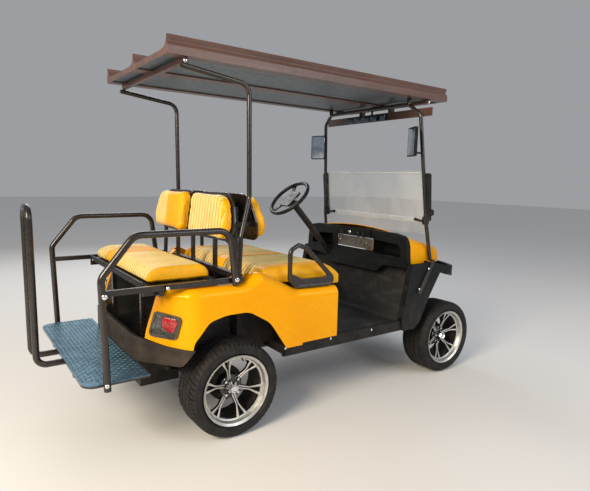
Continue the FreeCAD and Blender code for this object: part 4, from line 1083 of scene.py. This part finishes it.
def make_screen_parts(materials):
    """The screen's painted edge highlights, the hazy band at its fold, and the clamps and latches that hold
    it.
    """
    y = screen_side
    build = Builder()
    # Pale rods along the screen's edges are painted highlights; those along the fold have the same pale
    # finish.
    corners = [screen_point(0.02, -y), screen_point(0.985, -y), screen_point(0.985, y), screen_point(0.02, y)]
    for start, end in zip(corners, corners[1:]):
        build.rod(start, end, 0.0032)
    for share in (fold_low, fold_high):
        build.rod(screen_point(share, -y, 0.012), screen_point(share, y, 0.012), 0.003)
    build.finish("screen_edge_highlight_rods", [materials["painted_edge_highlight"]], "chassis")
    build = Builder()
    band = ((fold_low, 0.010), (fold_low + 0.010, 0.006), (fold_high - 0.010, 0.006), (fold_high, 0.010))
    build.loft([[screen_point(share, -y, ahead), screen_point(share, y, ahead)] for share, ahead in band],
               closed=False, caps=False)
    build.finish("screen_fold", [materials["fold_clear"]], "chassis")
    build = Builder()
    lean = math.atan2(screen_foot.x - screen_head.x, screen_head.z - screen_foot.z)
    turn = Matrix.Rotation(-lean, 3, "Y")
    for side in (1, -1):
        for share, out, ahead, extent, bevel in screen_clamps:
            build.box(screen_point(share, side * (y + out), ahead), extent, turn, bevel)
        knob, latch = side * (y - 0.085), side * (y - 0.015)
        build.dome(screen_point(0.235, knob, -0.001), (-1, 0, 0.1), 0.011, 0.016)
        build.rod(screen_point(0.235, knob, -0.008), screen_point(0.215, latch, -0.006), 0.008)
    build.finish("screen_clips", [materials["grip"]], "chassis")


dash_plate_y = -0.045
dash_plate_z = 0.898
switch_z = 0.962
# Half width, half height, depth and material of the plate's border and of the plate on it.
dash_plates = ((0.190, 0.044, 0.002, 1), (0.185, 0.039, 0.0035, 0))
dash_screws = ((0.46, 0.80), (-0.46, 0.80), (0.30, 0.765), (-0.30, 0.765), (0.47, 0.93), (-0.47, 0.93))


def make_dash_parts(materials):
    """Bare plate, gauge, switches, key barrel and screws on the dash."""
    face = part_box("dash")[0][0]
    back, across = (-1, 0, 0), (0, -1, 0)
    build = Builder()
    for half_wide, half_high, depth, mark in dash_plates:
        outline = rounded_rectangle(half_wide, half_high, 0.010)
        centre = Vector((face, dash_plate_y, dash_plate_z))
        build.plate(outline, centre, across, upwards, depth, 0.001, mark)
    for y in (-0.17, 0.12):
        build.dome(Vector((face - 0.003, y, dash_plate_z)), back, 0.005, 0.002, 1, 10)
    angles = [turn * math.pi / 16 for turn in range(32)]
    gauge = [(0.026 * math.cos(angle), 0.017 * math.sin(angle)) for angle in angles]
    build.plate(gauge, Vector((face, 0.1, switch_z)), across, upwards, 0.004, 0.0015, 2)
    for y in (-0.08, -0.13):
        build.box(Vector((face - 0.003, y, 0.955)), (0.010, 0.022, 0.034), None, 0.003, 2)
    build.dome(Vector((face, 0.02, switch_z)), back, 0.012, 0.005, 1)
    build.dome(Vector((face - 0.004, 0.02, switch_z)), back, 0.005, 0.012, 2, 8)
    for y, z in dash_screws:
        build.dome(Vector((face + 0.012, y, z)), back, 0.006, 0.003, 2, 10)
    build.finish("dash_fittings", [materials["dash_plate"], materials["chrome"], materials["grip"]],
                 "chassis")


# Nodes whose finish differs from that of their slot.
node_materials = {"rear_bumper": "bumper_scuffed", "floor_pan": "speckled", "headlights": "white_lens"}


def dress_nodes(materials):
    for part in frame["record"]["subparts"]:
        node = nodes[part["node"]]
        node.data.materials.clear()
        node.data.materials.append(materials[node_materials.get(part["node"], part["material_slot"])])


make_camera()
make_light()
make_floor()
library = make_materials()
dress_nodes(library)
for wheel in first_spoke:
    make_tyre("tyre_" + wheel, library)
    make_rim("rim_" + wheel, library)
make_upholstery()
make_tail_lamps(library)
make_foot_pattern(library)
make_caps(library)
make_mirror_glass(library)
make_screen_parts(library)
make_dash_parts(library)
